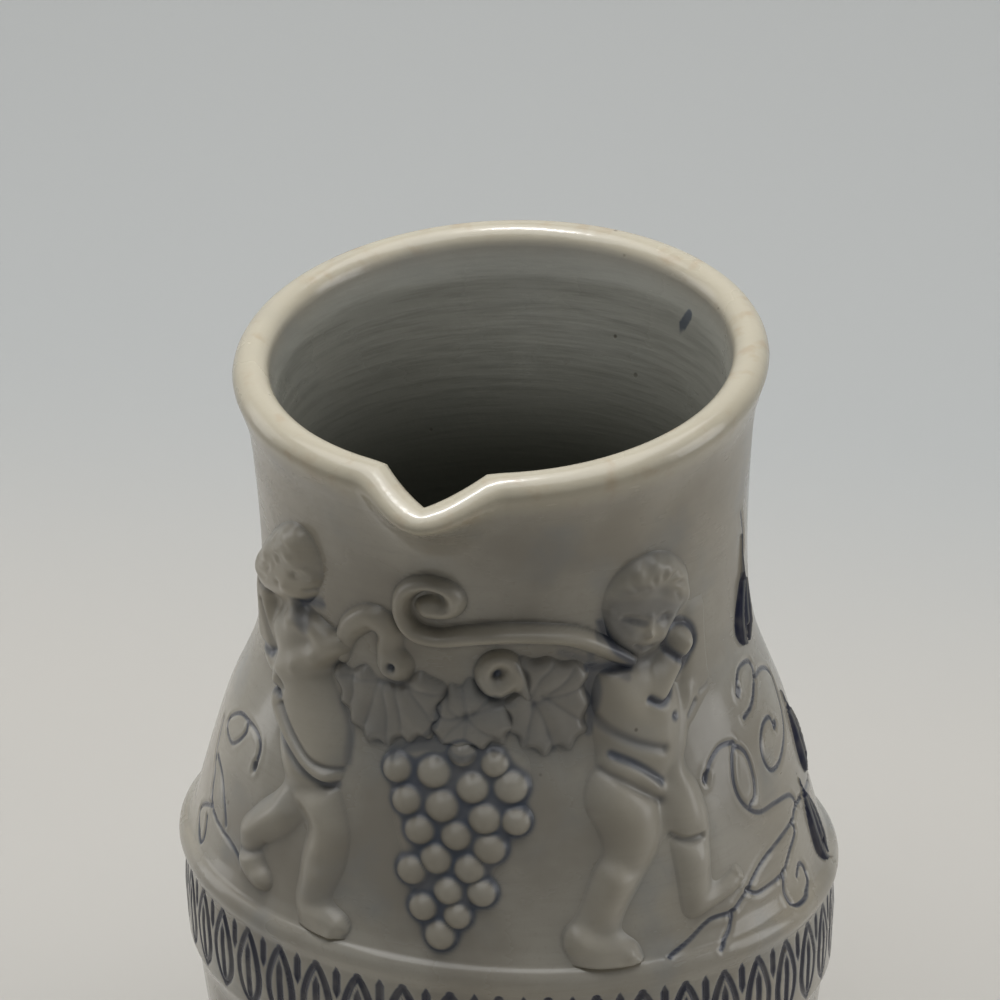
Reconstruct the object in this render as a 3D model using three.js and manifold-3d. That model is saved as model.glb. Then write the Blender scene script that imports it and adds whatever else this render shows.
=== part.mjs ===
import * as THREE from "three";
import { mergeVertices } from "three/addons/utils/BufferGeometryUtils.js";
import Module from "manifold-3d";

// Stoneware creamer: a necked jug with a pinched lip, a strap handle and sprigged relief.
// Millimetres, +Z up. The origin is the centre of the flat base and the lip points to -Y.
// A place on the pot is [degrees round from the lip, positive towards +X, and height above the bead].

const wasm = await Module();
wasm.setup();

// Outside of the body
const RIM_HEIGHT = 106.5;
const RIM_RADIUS = 30.9;
const NECK_HEIGHT = 81;
const NECK_RADIUS = 28.6;
const FLARE_HEIGHT = 61.6;
const FLARE_RADIUS = 33.3;
const BAND_RADIUS = 39.2;
const BAND_BOTTOM = 29.7;
const BAND_EDGE = 0.5;
const BAND_SWELL = 0.2;
const BEAD_HEIGHT = 42.7;
const BEAD_HALF_WIDTH = 1.9;
const BEAD_PROUD = 0.7;
const BEAD_RADIUS = BAND_RADIUS + BEAD_PROUD;
const LEDGE = 2;
const FOOT_RADIUS = 31;
const FOOT_BEVEL = 1;

// Inside of the body
const WALL = 4;
const FLOOR = 5;
const FLOOR_CURVE = 9;
const LIP_THICKNESS = 4.3;
const RIM_ROLL = 0.48 * LIP_THICKNESS;
const RIM_DEPTH = 5;

// The rim dips towards the lip and is drawn out a little that way
const RIM_DIP_DEG = 6.2;
const RIM_DIP_TOWARDS_DEG = 13;
const RIM_OVAL = 0.11;
const RIM_DIP_FROM = NECK_HEIGHT - 1;

// The band runs slightly askew
const BAND_SLOPE_DEG = 4;
const BAND_HIGH_SIDE_DEG = -49;
const BAND_LEVEL_ABOVE = NECK_HEIGHT - 3;
const BAND_LEVEL_BELOW = FOOT_BEVEL + 3;

// Pinched lip
const LIP_HALF_ANGLE = 11;
const LIP_INNER_PUSH = 4.6;
const LIP_OUTER_PUSH = 4.6;
const LIP_DROP = 2.5;
const LIP_DEPTH = 13;
const LIP_SPREAD = 1.4;

// Strap handle
const HANDLE_WIDTH = 15;
const HANDLE_THICKNESS = 5.2;
const HANDLE_REACH = 25;
const HANDLE_BELOW_RIM = 15.5;
const HANDLE_ABOVE_BEAD = 12.3;
const HANDLE_ROOT = 6;
const HANDLE_TOP = RIM_HEIGHT - HANDLE_BELOW_RIM;
const HANDLE_BOTTOM = BEAD_HEIGHT + HANDLE_ABOVE_BEAD;

// Relief
const RELIEF_LIFT = 1.5;
const JOINT_GAP = 0.3;
const LEAF_THICKNESS = 1.1;
const LEAF_ROOT = 2.4;
const LEAF_LOBES = 5;
const LEAF_NOTCH = 0.66;
const LEAF_STALK = 0.35;
const LEAF_BULGE = 0.9;
const POLE_RADIUS = 1.15;
const POLE_LIFT = 0.5;
const VOLUTE_PLACE = [-1.5, 43.2];
const VOLUTE_TURNS = 1.35;
const VOLUTE_REACH = 3;
const VOLUTE_EYE = 1.1;
const GRAPE_RADIUS = 1.95;
const GRAPE_LIFT = 0.35;
const GRAPE_PITCH = 1.86 * GRAPE_RADIUS;
const LEFT_BUD = [-10.8, 33.8];
const RIGHT_BUD = [13, 33.8];
const BUD_RADIUS = 1.9;
const BUD_THICKNESS = 1.1;

// Fineness of the surfaces
const PROFILE_STEPS = 5;
const ROUND_STEPS = 76;
const SEAT_STEPS = 60;
const LIP_CROWDING = 0.5;
const BLOB_AROUND = 8;
const BLOB_ALONG = 5;
const GRAPE_ALONG = 4;
const TUBE_SIDES = 8;
const POLE_STEPS = 44;
const VOLUTE_STEPS = 9;
const HANDLE_STEPS = 22;
const ROUND_SIDE_STEPS = 5;
const LEAF_SIDE_STEPS = 6;
const BUD_SIDES = 6;
const BUD_STEPS = 12;

const radians = THREE.MathUtils.degToRad;
const degrees = THREE.MathUtils.radToDeg;
const { clamp, lerp, smoothstep } = THREE.MathUtils;
const point = (radius, height) => new THREE.Vector2(radius, height);

function between(from, to, radiusShare, heightShare) {
  return point(lerp(from.x, to.x, radiusShare), lerp(from.y, to.y, heightShare));
}

// Points on a quarter-round of a profile, at angles above the horizontal
function roundedEdge(centre, radius, angles) {
  return angles.map((angle) =>
    point(centre.x + radius * Math.cos(radians(angle)), centre.y + radius * Math.sin(radians(angle))),
  );
}

function curvePoints(points, steps) {
  return new THREE.SplineCurve(points).getPoints(steps);
}

function lowerBodyProfile() {
  const foot = point(FOOT_RADIUS, FOOT_BEVEL);
  const underBand = point(BAND_RADIUS - 2 * BAND_EDGE, BAND_BOTTOM - 4 * BAND_EDGE);
  const swell = [between(foot, underBand, 0.4, 0.27), between(foot, underBand, 0.78, 0.57)];
  return curvePoints([foot, ...swell, underBand], PROFILE_STEPS);
}

function bandProfile() {
  return [
    point(BAND_RADIUS - BAND_EDGE, BAND_BOTTOM - BAND_EDGE),
    point(BAND_RADIUS, BAND_BOTTOM + BAND_EDGE),
    point(BAND_RADIUS + BAND_SWELL, (BAND_BOTTOM + BEAD_HEIGHT) / 2),
    point(BAND_RADIUS, BEAD_HEIGHT - BEAD_HALF_WIDTH),
  ];
}

function beadProfile() {
  const centre = point(BEAD_RADIUS - BEAD_HALF_WIDTH, BEAD_HEIGHT);
  return roundedEdge(centre, BEAD_HALF_WIDTH, [-25, 0, 30, 70]);
}

function flareAndNeckProfile() {
  const ledge = point(BEAD_RADIUS - LEDGE, BEAD_HEIGHT + 1.7 * BEAD_HALF_WIDTH);
  const flare = point(FLARE_RADIUS, FLARE_HEIGHT);
  const neck = point(NECK_RADIUS, NECK_HEIGHT);
  const underRim = point(RIM_RADIUS - 0.3 * RIM_ROLL, RIM_HEIGHT - 1.9 * RIM_ROLL);
  const corners = [
    ledge,
    between(ledge, flare, 0.5, 0.52),
    flare,
    between(flare, neck, 0.79, 0.485),
    neck,
    between(neck, underRim, 0.32, 0.73),
    underRim,
  ];
  return curvePoints(corners, 3 * PROFILE_STEPS);
}

// Outer profile from the edge of the base to the top of the rim, as it left the wheel
function outerProfile() {
  const rim = roundedEdge(point(RIM_RADIUS - RIM_ROLL, RIM_HEIGHT - RIM_ROLL), RIM_ROLL, [0, 42, 80]);
  return [
    ...lowerBodyProfile(),
    ...bandProfile(),
    ...beadProfile(),
    ...flareAndNeckProfile(),
    ...rim,
  ];
}

const seatProfile = outerProfile();

// Radius of the body's outside at a height, before it is settled
function bodyRadius(height) {
  const next = seatProfile.findIndex((corner) => corner.y > height);
  const upper = seatProfile[next];
  const lower = seatProfile[next - 1];
  const share = (height - lower.y) / (upper.y - lower.y);
  return lerp(lower.x, upper.x, share);
}

// Inner profile from the rim down to the middle of the floor
function innerProfile() {
  const inside = RIM_RADIUS - LIP_THICKNESS;
  const rimCentre = point(inside + RIM_ROLL, RIM_HEIGHT - RIM_ROLL);
  const rim = roundedEdge(rimCentre, RIM_ROLL, [100, 145, 180]);
  const wallAt = (height, outside = bodyRadius(height)) => point(outside - WALL, height);
  const wallFoot = wallAt(FLOOR + FLOOR_CURVE);
  const floor = point(FOOT_RADIUS / 2, FLOOR);
  const corners = [
    point(inside - BEAD_PROUD, RIM_HEIGHT - RIM_DEPTH),
    wallAt(NECK_HEIGHT),
    wallAt(FLARE_HEIGHT),
    wallAt(BEAD_HEIGHT, BAND_RADIUS - BAND_EDGE),
    wallAt(BAND_BOTTOM, BAND_RADIUS - 2 * BAND_EDGE),
    wallFoot,
    between(floor, wallFoot, 0.65, 0.18),
    floor,
  ];
  return [...rim, ...curvePoints(corners, 2 * PROFILE_STEPS), point(0, FLOOR)];
}

// Moves a point from the true round shape to the finished shape: askew band and dipping rim
function settlePoint(p) {
  const around = Math.atan2(p.x, -p.y);
  const reach = Math.min(Math.hypot(p.x, p.y), BEAD_RADIUS);
  const rimShare = smoothstep(p.z, RIM_DIP_FROM, RIM_HEIGHT);
  const above = smoothstep(p.z, BEAD_HEIGHT + 2 * BEAD_HALF_WIDTH, BAND_LEVEL_ABOVE);
  const bandShare = smoothstep(p.z, BAND_LEVEL_BELOW, BAND_BOTTOM - BAND_EDGE) * (1 - above);
  const dip = Math.tan(radians(RIM_DIP_DEG)) * Math.cos(around - radians(RIM_DIP_TOWARDS_DEG));
  const rise = Math.tan(radians(BAND_SLOPE_DEG)) * Math.cos(around - radians(BAND_HIGH_SIDE_DEG));
  p.y *= 1 + RIM_OVAL * rimShare;
  p.z += reach * (rise * bandShare - dip * rimShare);
  return p;
}

// Pulls the rim out and down into a V at the lip, more on the inside than on the outside
function pinchPoint(p, height) {
  const around = Math.abs(degrees(Math.atan2(p.x, -p.y))) / LIP_HALF_ANGLE;
  const upper = smoothstep(height, RIM_HEIGHT - LIP_DEPTH, RIM_HEIGHT);
  const radius = Math.hypot(p.x, p.y);
  const round = radius / (1 + RIM_OVAL * smoothstep(height, RIM_DIP_FROM, RIM_HEIGHT));
  const outside = clamp((round - RIM_RADIUS + LIP_THICKNESS) / LIP_THICKNESS, 0, 1);
  const tent = Math.max(0, 1 - around);
  const swell = 1 - smoothstep(around, 0, LIP_SPREAD);
  const push = upper * lerp(LIP_INNER_PUSH * tent, LIP_OUTER_PUSH * swell, outside);
  const stretch = 1 + push / Math.max(radius, 1);
  p.x *= stretch;
  p.y *= stretch;
  const lowered = smoothstep(height, RIM_HEIGHT - 2 * LIP_THICKNESS, RIM_HEIGHT);
  p.z -= LIP_DROP * lerp(tent, swell, outside) * lowered;
  return p;
}

function movePoints(geometry, move) {
  const position = geometry.getAttribute("position");
  const p = new THREE.Vector3();
  for (let i = 0; i < position.count; i += 1) {
    p.fromBufferAttribute(position, i);
    move(p);
    position.setXYZ(i, p.x, p.y, p.z);
  }
  return geometry;
}

// A LatheGeometry stood up so that its axis is Z and its seam is at the back
function turned(profile, steps) {
  const geometry = new THREE.LatheGeometry(profile, steps, Math.PI);
  return geometry.rotateX(Math.PI / 2);
}

function solidFrom(geometry) {
  const bare = geometry.index ? geometry.toNonIndexed() : geometry.clone();
  bare.deleteAttribute("normal");
  bare.deleteAttribute("uv");
  const merged = mergeVertices(bare, 1e-4);
  return new wasm.Manifold(
    new wasm.Mesh({
      numProp: 3,
      vertProperties: merged.getAttribute("position").array,
      triVerts: new Uint32Array(merged.index.array),
    }),
  );
}

function geometryFrom(solid) {
  const mesh = solid.getMesh();
  const position = new Float32Array(mesh.vertProperties);
  return new THREE.BufferGeometry()
    .setAttribute("position", new THREE.BufferAttribute(position, 3))
    .setIndex(new THREE.BufferAttribute(new Uint32Array(mesh.triVerts), 1));
}

const union = (solids) => solids.reduce((whole, next) => whole.add(next));

// A place on the pot, lifted off its surface
function onPot([around, aboveFoot], lift = 0) {
  const height = BEAD_HEIGHT + RELIEF_LIFT + aboveFoot;
  const radius = bodyRadius(height) + lift;
  const angle = radians(around);
  return new THREE.Vector3(radius * Math.sin(angle), -radius * Math.cos(angle), height);
}

// Axes at a place on the pot: round to the right, up the wall, and out of it
function potAxes(place) {
  const [around, aboveFoot] = place;
  const step = 0.5;
  const out = new THREE.Vector3();
  const round = new THREE.Vector3(Math.cos(radians(around)), Math.sin(radians(around)), 0);
  const above = onPot([around, aboveFoot + step]);
  const below = onPot([around, aboveFoot - step]);
  const up = above.sub(below).normalize();
  out.crossVectors(round, up);
  return new THREE.Matrix4().makeBasis(round, up, out).setPosition(onPot(place));
}

// A rounded lump on the wall: half sizes round, up and out, and a turn in the wall's plane
function lump(place, [across, up, out], { turn = 0, grow = 0 } = {}) {
  const geometry = new THREE.SphereGeometry(1, BLOB_AROUND, BLOB_ALONG);
  geometry.scale(across + grow, up + grow, out + grow);
  geometry.rotateZ(radians(turn));
  geometry.applyMatrix4(potAxes(place));
  return solidFrom(geometry);
}

// A limb: a stretched lump from one place to another
function limb(from, to, thickness, { lift = 0.4, grow = 0 } = {}) {
  const start = onPot(from, lift);
  const end = onPot(to, lift);
  const along = end.clone().sub(start);
  const half = along.length() / 2 + 0.75 * thickness;
  const upright = new THREE.Vector3(0, 1, 0);
  const turn = new THREE.Quaternion().setFromUnitVectors(upright, along.normalize());
  const middle = start.add(end).multiplyScalar(0.5);
  const geometry = new THREE.SphereGeometry(1, BLOB_AROUND, BLOB_ALONG);
  geometry.scale(thickness + grow, half + grow, thickness + grow);
  geometry.applyQuaternion(turn);
  geometry.translate(middle.x, middle.y, middle.z);
  return solidFrom(geometry);
}

// A round bar laid on the wall through the places
function bar(places, radius, steps, lift) {
  const path = new THREE.CatmullRomCurve3(places.map((place) => onPot(place, lift)));
  const sides = Array.from({ length: TUBE_SIDES }, (_, i) => {
    const angle = (2 * Math.PI * i) / TUBE_SIDES;
    return new THREE.Vector2(radius * Math.cos(angle), radius * Math.sin(angle));
  });
  const settings = { steps, extrudePath: path };
  return solidFrom(new THREE.ExtrudeGeometry(new THREE.Shape(sides), settings));
}

// Outline of a lobed leaf, pointing up, with a gap where its stalk comes in
function vineLeafOutline(size) {
  const corners = 2 * LEAF_LOBES + 1;
  const sweep = 2 * (Math.PI - LEAF_STALK);
  const outline = Array.from({ length: corners }, (_, i) => {
    const angle = LEAF_STALK - Math.PI / 2 + (sweep * i) / (corners - 1);
    const reach = size * (i % 2 ? 1 : LEAF_NOTCH);
    return new THREE.Vector2(reach * Math.cos(angle), reach * Math.sin(angle));
  });
  return new THREE.Shape([new THREE.Vector2(0, -LEAF_STALK * size), ...outline]);
}

// Outline of a long pointed leaf, pointing up
function longLeafOutline(width, length) {
  const shape = new THREE.Shape();
  shape.moveTo(0, -length / 2);
  shape.quadraticCurveTo(LEAF_BULGE * width, -length / 5, 0, length / 2);
  shape.quadraticCurveTo(-LEAF_BULGE * width, -length / 5, 0, -length / 2);
  return shape;
}

// A leaf plate laid on the wall
function leaf(place, outline, turn) {
  const depth = LEAF_ROOT + LEAF_THICKNESS;
  const settings = { depth, bevelEnabled: false, curveSegments: LEAF_SIDE_STEPS };
  const geometry = new THREE.ExtrudeGeometry(outline, settings);
  geometry.translate(0, 0, -LEAF_ROOT);
  geometry.rotateZ(radians(turn));
  geometry.applyMatrix4(potAxes(place));
  return solidFrom(geometry);
}

// The room that the body takes, with the joint gap, filled solid
function seatSolid() {
  const grown = seatProfile.map((corner) => point(corner.x + JOINT_GAP, corner.y));
  const lowest = grown[0];
  const highest = grown[grown.length - 1];
  return solidFrom(turned([point(0, lowest.y), ...grown, point(0, highest.y)], SEAT_STEPS));
}

const seat = seatSolid();

// What stands outside the seat, settled with the body
function seated(solid) {
  const outer = solid.subtract(seat).decompose();
  outer.sort((a, b) => b.volume() - a.volume());
  return movePoints(geometryFrom(outer[0]), settlePoint);
}

// More of the body's strips lie at the lip
function crowdTowardsLip(p) {
  const around = Math.atan2(p.x, -p.y);
  const radius = Math.hypot(p.x, p.y);
  const moved = around - LIP_CROWDING * Math.sin(around);
  p.x = radius * Math.sin(moved);
  p.y = -radius * Math.cos(moved);
  return p;
}

function bodyGeometry() {
  const base = [point(0, 0), point(FOOT_RADIUS - FOOT_BEVEL, 0)];
  const geometry = turned([...base, ...seatProfile, ...innerProfile()], ROUND_STEPS);
  return movePoints(geometry, (p) => {
    const height = p.z;
    crowdTowardsLip(p);
    settlePoint(p);
    return pinchPoint(p, height);
  });
}

// Middle line of the strap, from inside the neck's wall to inside the belly's wall
function handlePath() {
  const drop = HANDLE_TOP - HANDLE_BOTTOM;
  const belly = bodyRadius(HANDLE_BOTTOM);
  const at = (y, dropShare) => new THREE.Vector3(0, y, HANDLE_TOP - dropShare * drop);
  const out = (share) => NECK_RADIUS + share * HANDLE_REACH;
  return new THREE.CatmullRomCurve3([
    at(NECK_RADIUS - WALL / 2, 0.07),
    at(out(0.2), 0.014),
    at(out(0.68), 0.04),
    at(out(1), 0.3),
    at(out(0.88), 0.62),
    at(belly + HANDLE_ROOT, 0.96),
    at(belly - WALL / 2, 1.03),
  ]);
}

function handleGeometry() {
  const corner = HANDLE_THICKNESS / 2;
  const flat = HANDLE_WIDTH / 2 - corner;
  const section = new THREE.Shape();
  section.absarc(flat, 0, corner, -Math.PI / 2, Math.PI / 2, false);
  section.absarc(-flat, 0, corner, Math.PI / 2, 1.5 * Math.PI, false);
  const settings = {
    steps: HANDLE_STEPS,
    curveSegments: ROUND_SIDE_STEPS,
    extrudePath: handlePath(),
  };
  return seated(solidFrom(new THREE.ExtrudeGeometry(section, settings)));
}

// Rows of the bunch, from the top: height above the bead, first grape's degrees, number of grapes
const grapeRows = [
  { aboveFoot: 23.4, from: -8.6, count: 4 },
  { aboveFoot: 21, from: -4.4, count: 4 },
  { aboveFoot: 18, from: -6, count: 4 },
  { aboveFoot: 15.2, from: -2, count: 3 },
  { aboveFoot: 12.2, from: -2.4, count: 3 },
  { aboveFoot: 9.2, from: 1.4, count: 2 },
  { aboveFoot: 6.6, from: -0.6, count: 2 },
  { aboveFoot: 4.2, from: 2.4, count: 1 },
];

function grapePlaces() {
  return grapeRows.flatMap(({ aboveFoot, from, count }) => {
    const pitch = degrees(GRAPE_PITCH / bodyRadius(BEAD_HEIGHT + RELIEF_LIFT + aboveFoot));
    return Array.from({ length: count }, (_, i) => [from + i * pitch, aboveFoot]);
  });
}

function grapes(grow = 0) {
  return union(
    grapePlaces().map((place) => {
      const geometry = new THREE.SphereGeometry(GRAPE_RADIUS + grow, BLOB_AROUND, GRAPE_ALONG);
      geometry.rotateX(Math.PI / 2);
      geometry.translate(0, 0, GRAPE_LIFT);
      geometry.applyMatrix4(potAxes(place));
      return solidFrom(geometry);
    }),
  );
}

// The figure at the left: head turned away, one leg straight and one bent
function leftPutto(grow = 0) {
  const straightKnee = [-21.8, 10.6];
  const bentKnee = [-40.2, 8.6];
  return union([
    lump([-44.5, 42.4], [3.1, 3.4, 2.5], { grow }),
    lump([-51.5, 41.2], [2.8, 2.4, 1.5], { grow }),
    limb([-42.5, 38.8], [-37, 33.8], 2.4, { grow }),
    lump([-35, 29.4], [4.3, 6.2, 2.5], { grow, turn: 12 }),
    lump([-29, 21.2], [4.3, 5.2, 2.6], { grow, turn: 12 }),
    limb([-33, 31.8], [-28.5, 22.8], 1.9, { grow, lift: 1.6 }),
    limb([-45, 30.8], [-31, 23.8], 1.2, { grow, lift: 0.9 }),
    limb([-26, 18.8], straightKnee, 3.2, { grow }),
    limb(straightKnee, [-19.4, 4.6], 2.5, { grow }),
    limb([-20.5, 3.7], [-15.8, 3.7], 1.6, { grow }),
    limb([-28, 15.8], bentKnee, 3.3, { grow }),
    limb(bentKnee, [-35.2, 5.2], 2, { grow }),
    limb([-36.2, 4.8], [-32.4, 4], 1.4, { grow }),
  ]);
}

// The figure at the right: fist at the shoulder, one leg in front of the other
function rightPutto(grow = 0) {
  const frontKnee = [36.2, 10.8];
  const rearKnee = [48, 13.4];
  return union([
    lump([46.2, 42], [3.9, 3.8, 2.5], { grow }),
    lump([42.2, 38.4], [2.8, 3, 2.2], { grow }),
    lump([44.5, 35.4], [3.4, 2.4, 1.8], { grow }),
    lump([43, 29.4], [4.5, 5.4, 2.5], { grow, turn: -6 }),
    limb([49, 31.8], [55.7, 30.8], 1.9, { grow, lift: 0.8 }),
    limb([55.5, 30.8], [55.4, 35.2], 1.7, { grow, lift: 0.8 }),
    lump([40.8, 23], [4.4, 4, 2.5], { grow }),
    limb([38.4, 20.8], frontKnee, 3.8, { grow }),
    limb(frontKnee, [30.2, 5.6], 2.8, { grow }),
    limb([28, 4.8], [33.6, 3.9], 1.8, { grow }),
    limb([46.6, 21.8], rearKnee, 3.1, { grow }),
    limb(rearKnee, [48, 6.4], 2.1, { grow }),
    limb([48.5, 6.6], [54.8, 7.6], 1.5, { grow }),
  ]);
}

// The pole starts in a volute above the grapes and ends at the right-hand figure's shoulder
function pole(grow = 0) {
  const shaft = [
    [3.3, 40.1],
    [12, 39.9],
    [24, 39.7],
    [33, 38.2],
    [39.6, 36],
  ];
  const [around, aboveFoot] = VOLUTE_PLACE;
  const volute = Array.from({ length: VOLUTE_STEPS }, (_, i) => {
    const share = i / VOLUTE_STEPS;
    const angle = 2 * Math.PI * VOLUTE_TURNS * (1 - share) - Math.PI / 2;
    const reach = lerp(VOLUTE_EYE, VOLUTE_REACH, share);
    const aside = degrees((reach * Math.cos(angle)) / NECK_RADIUS);
    return [around + aside, aboveFoot + reach * Math.sin(angle)];
  });
  return bar([...volute, ...shaft], POLE_RADIUS + grow, POLE_STEPS, POLE_LIFT);
}

// A curled bud, open in the middle
function bud(place, grow = 0) {
  const geometry = new THREE.TorusGeometry(BUD_RADIUS, BUD_THICKNESS + grow, BUD_SIDES, BUD_STEPS);
  geometry.applyMatrix4(potAxes(place));
  return solidFrom(geometry);
}

// What lies in front takes its room first, with the joint gap round it
const puttoRoom = rightPutto(JOINT_GAP).add(leftPutto(JOINT_GAP));
const poleRoom = puttoRoom.add(pole(JOINT_GAP));
const leafRoom = union([
  poleRoom,
  grapes(JOINT_GAP),
  bud(LEFT_BUD, JOINT_GAP),
  bud(RIGHT_BUD, JOINT_GAP),
]);

const GREY = new THREE.Color(0x8d897d);
const COBALT = new THREE.Color(0x2a3550);

function glazed(color) {
  return new THREE.MeshStandardMaterial({ color, roughness: 0.35, metalness: 0 });
}

const creamer = new THREE.Group();

function addPiece(name, geometry, color = GREY) {
  const mesh = new THREE.Mesh(geometry, glazed(color));
  mesh.name = name;
  creamer.add(mesh);
}

addPiece("body", bodyGeometry());
addPiece("handle", handleGeometry());
addPiece("grape_bunch", seated(grapes()));
addPiece("left_putto", seated(leftPutto()));
addPiece("right_putto", seated(rightPutto()));
addPiece("carrying_pole", seated(pole().subtract(puttoRoom)));
addPiece("left_bud", seated(bud(LEFT_BUD).subtract(poleRoom)));
addPiece("right_bud", seated(bud(RIGHT_BUD).subtract(poleRoom)));

const vineLeaves = [
  { name: "left", place: [-15.6, 28.8], size: 4.8, turn: 200 },
  { name: "centre", place: [3.4, 29.2], size: 4.2, turn: 180 },
  { name: "right", place: [23, 29.6], size: 5, turn: 160 },
];

vineLeaves.forEach(({ name, place, size, turn }) => {
  const plate = leaf(place, vineLeafOutline(size), turn);
  addPiece(`${name}_vine_leaf`, seated(plate.subtract(leafRoom)));
});

// Each leaf at the right-hand side has its mirror image at the left
const sideLeaves = [
  { name: "upper", place: [88, 34], width: 7, length: 13, turn: 0 },
  { name: "middle", place: [100.5, 14], width: 5.4, length: 9.4, turn: 5 },
  { name: "lower", place: [93, 5.4], width: 5.8, length: 10.6, turn: 12 },
];

sideLeaves.forEach(({ name, place: [around, aboveFoot], width, length, turn }) => {
  const outline = () => longLeafOutline(width, length);
  addPiece(`right_${name}_leaf`, seated(leaf([around, aboveFoot], outline(), turn)), COBALT);
  addPiece(`left_${name}_leaf`, seated(leaf([-around, aboveFoot], outline(), -turn)), COBALT);
});

export default creamer;
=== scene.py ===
"""Stoneware creamer: a salt-glazed jug with a pinched lip and sprigged relief, seen from above its lip.

Shapes are worked out in millimetres and made into meshes in metres, in the frame's own axes: +Z up, lip
towards -Y. A place on the pot is [degrees round from the lip, positive towards +X, and height in mm].
A pixel is (across, down) in the photograph's 1000 x 1000 frame. A line or outline over the photograph is
one flat list of pixels: across, down, across, down and so on.
"""

import math

import bpy
import numpy as np
from mathutils import Matrix, Vector


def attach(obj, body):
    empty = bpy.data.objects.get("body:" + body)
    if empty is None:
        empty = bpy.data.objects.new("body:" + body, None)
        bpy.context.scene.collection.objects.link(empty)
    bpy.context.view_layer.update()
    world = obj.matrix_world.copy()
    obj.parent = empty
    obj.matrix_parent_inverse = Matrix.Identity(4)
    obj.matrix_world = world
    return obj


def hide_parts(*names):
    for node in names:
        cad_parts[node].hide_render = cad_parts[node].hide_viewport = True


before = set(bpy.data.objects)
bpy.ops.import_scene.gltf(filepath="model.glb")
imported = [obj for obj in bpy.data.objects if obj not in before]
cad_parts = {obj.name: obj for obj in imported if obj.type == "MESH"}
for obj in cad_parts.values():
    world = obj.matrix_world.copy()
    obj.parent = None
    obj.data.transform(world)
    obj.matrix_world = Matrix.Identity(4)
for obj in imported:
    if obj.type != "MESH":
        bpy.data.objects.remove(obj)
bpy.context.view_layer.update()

MM = 0.001

# Outside of the body
RIM_HEIGHT = 106.5
RIM_RADIUS = 30.9
NECK_HEIGHT = 81
NECK_RADIUS = 28.6
FLARE_HEIGHT = 61.6
FLARE_RADIUS = 33.3
BAND_RADIUS = 39.2
BAND_BOTTOM = 29.7
BAND_EDGE = 0.5
BAND_SWELL = 0.2
BEAD_HEIGHT = 42.7
BEAD_HALF_WIDTH = 1.9
BEAD_PROUD = 0.7
BEAD_RADIUS = BAND_RADIUS + BEAD_PROUD
LEDGE = 2
FOOT_RADIUS = 31
FOOT_BEVEL = 1

# Inside of the body
WALL = 4
FLOOR = 5
FLOOR_CURVE = 9
LIP_THICKNESS = 4.3
RIM_ROLL = 0.48 * LIP_THICKNESS
RIM_DEPTH = 5

# The rim dips towards the lip and is drawn out a little that way, and the band runs slightly askew
RIM_DIP_DEG = 6.2
RIM_DIP_TOWARDS_DEG = 13
RIM_OVAL = 0.11
RIM_DIP_FROM = NECK_HEIGHT - 1
BAND_SLOPE_DEG = 4
BAND_HIGH_SIDE_DEG = -49
BAND_LEVEL_ABOVE = NECK_HEIGHT - 3
BAND_LEVEL_BELOW = FOOT_BEVEL + 3

# Pinched lip
LIP_HALF_ANGLE = 11
LIP_PUSH = 4.6
LIP_DROP = 2.5
LIP_DEPTH = 13
LIP_SPREAD = 1.4

# Strap handle
HANDLE_WIDTH = 15
HANDLE_THICKNESS = 5.2
HANDLE_REACH = 25
HANDLE_TOP = RIM_HEIGHT - 15.5
HANDLE_BOTTOM = BEAD_HEIGHT + 12.3
HANDLE_ROOT = 6

# Camera of the photograph: millimetres, degrees and pixels
CAMERA_PLACE = np.array([120.75, -468.73, 299.06])
CAMERA_ROUND = 14.5
CAMERA_PITCH = 23.7
CAMERA_ROLL = -0.97
FOCAL_PIXELS = 4500
IMAGE_PIXELS = 1000
SENSOR_MM = 36

# Fineness of the surfaces
FRONT_COLUMNS = 680
BACK_COLUMNS = 240
FRONT_DEG = (-92, 112)
CHART_DEG = 0.34
CHART_MM = 0.2
# Distances from the camera at which a line of sight is tried against the wall
SIGHT_MM = np.linspace(400, 600, 2001)
SETTLING_ROUNDS = 6
TINY = 1e-9


def smoothstep(low, high, value):
    share = np.clip((value - low) / (high - low), 0, 1)
    return share * share * (3 - 2 * share)


def lerp(low, high, share):
    return low + (high - low) * share


def bell(distance, width):
    """1 at no distance, and falling smoothly to almost nothing at twice the width."""
    return np.exp(-((distance / width) ** 2))


def smooth_max(a, b, blend):
    """The larger of two heights, rounded where they cross."""
    overlap = np.clip(1 - np.abs(a - b) / blend, 0, 1)
    return np.maximum(a, b) + overlap**2 * blend / 4


def turned(x, y, degrees):
    """x and y along axes that are turned anticlockwise."""
    c, s = math.cos(math.radians(degrees)), math.sin(math.radians(degrees))
    return c * x + s * y, c * y - s * x


def spline(corners, steps):
    """A Catmull-Rom curve through the corners, as steps + 1 points."""
    corners = np.array(corners, float)
    last = len(corners) - 1
    places = np.linspace(0, last, steps + 1)
    i = np.minimum(places.astype(int), last - 1)
    share = (places - i)[:, None]
    before, start = corners[np.maximum(i - 1, 0)], corners[i]
    end, after = corners[i + 1], corners[np.minimum(i + 2, last)]
    leave, arrive = (end - before) / 2, (after - start) / 2
    cubic = 2 * start - 2 * end + leave + arrive
    square = -3 * start + 3 * end - 2 * leave - arrive
    return cubic * share**3 + square * share**2 + leave * share + start


# Profile of the pot


def between(start, end, radius_share, height_share):
    return (lerp(start[0], end[0], radius_share), lerp(start[1], end[1], height_share))


def rounded_edge(centre, radius, first, last, steps=8):
    angles = np.radians(np.linspace(first, last, steps))
    return np.stack([centre[0] + radius * np.cos(angles), centre[1] + radius * np.sin(angles)], 1)


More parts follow.
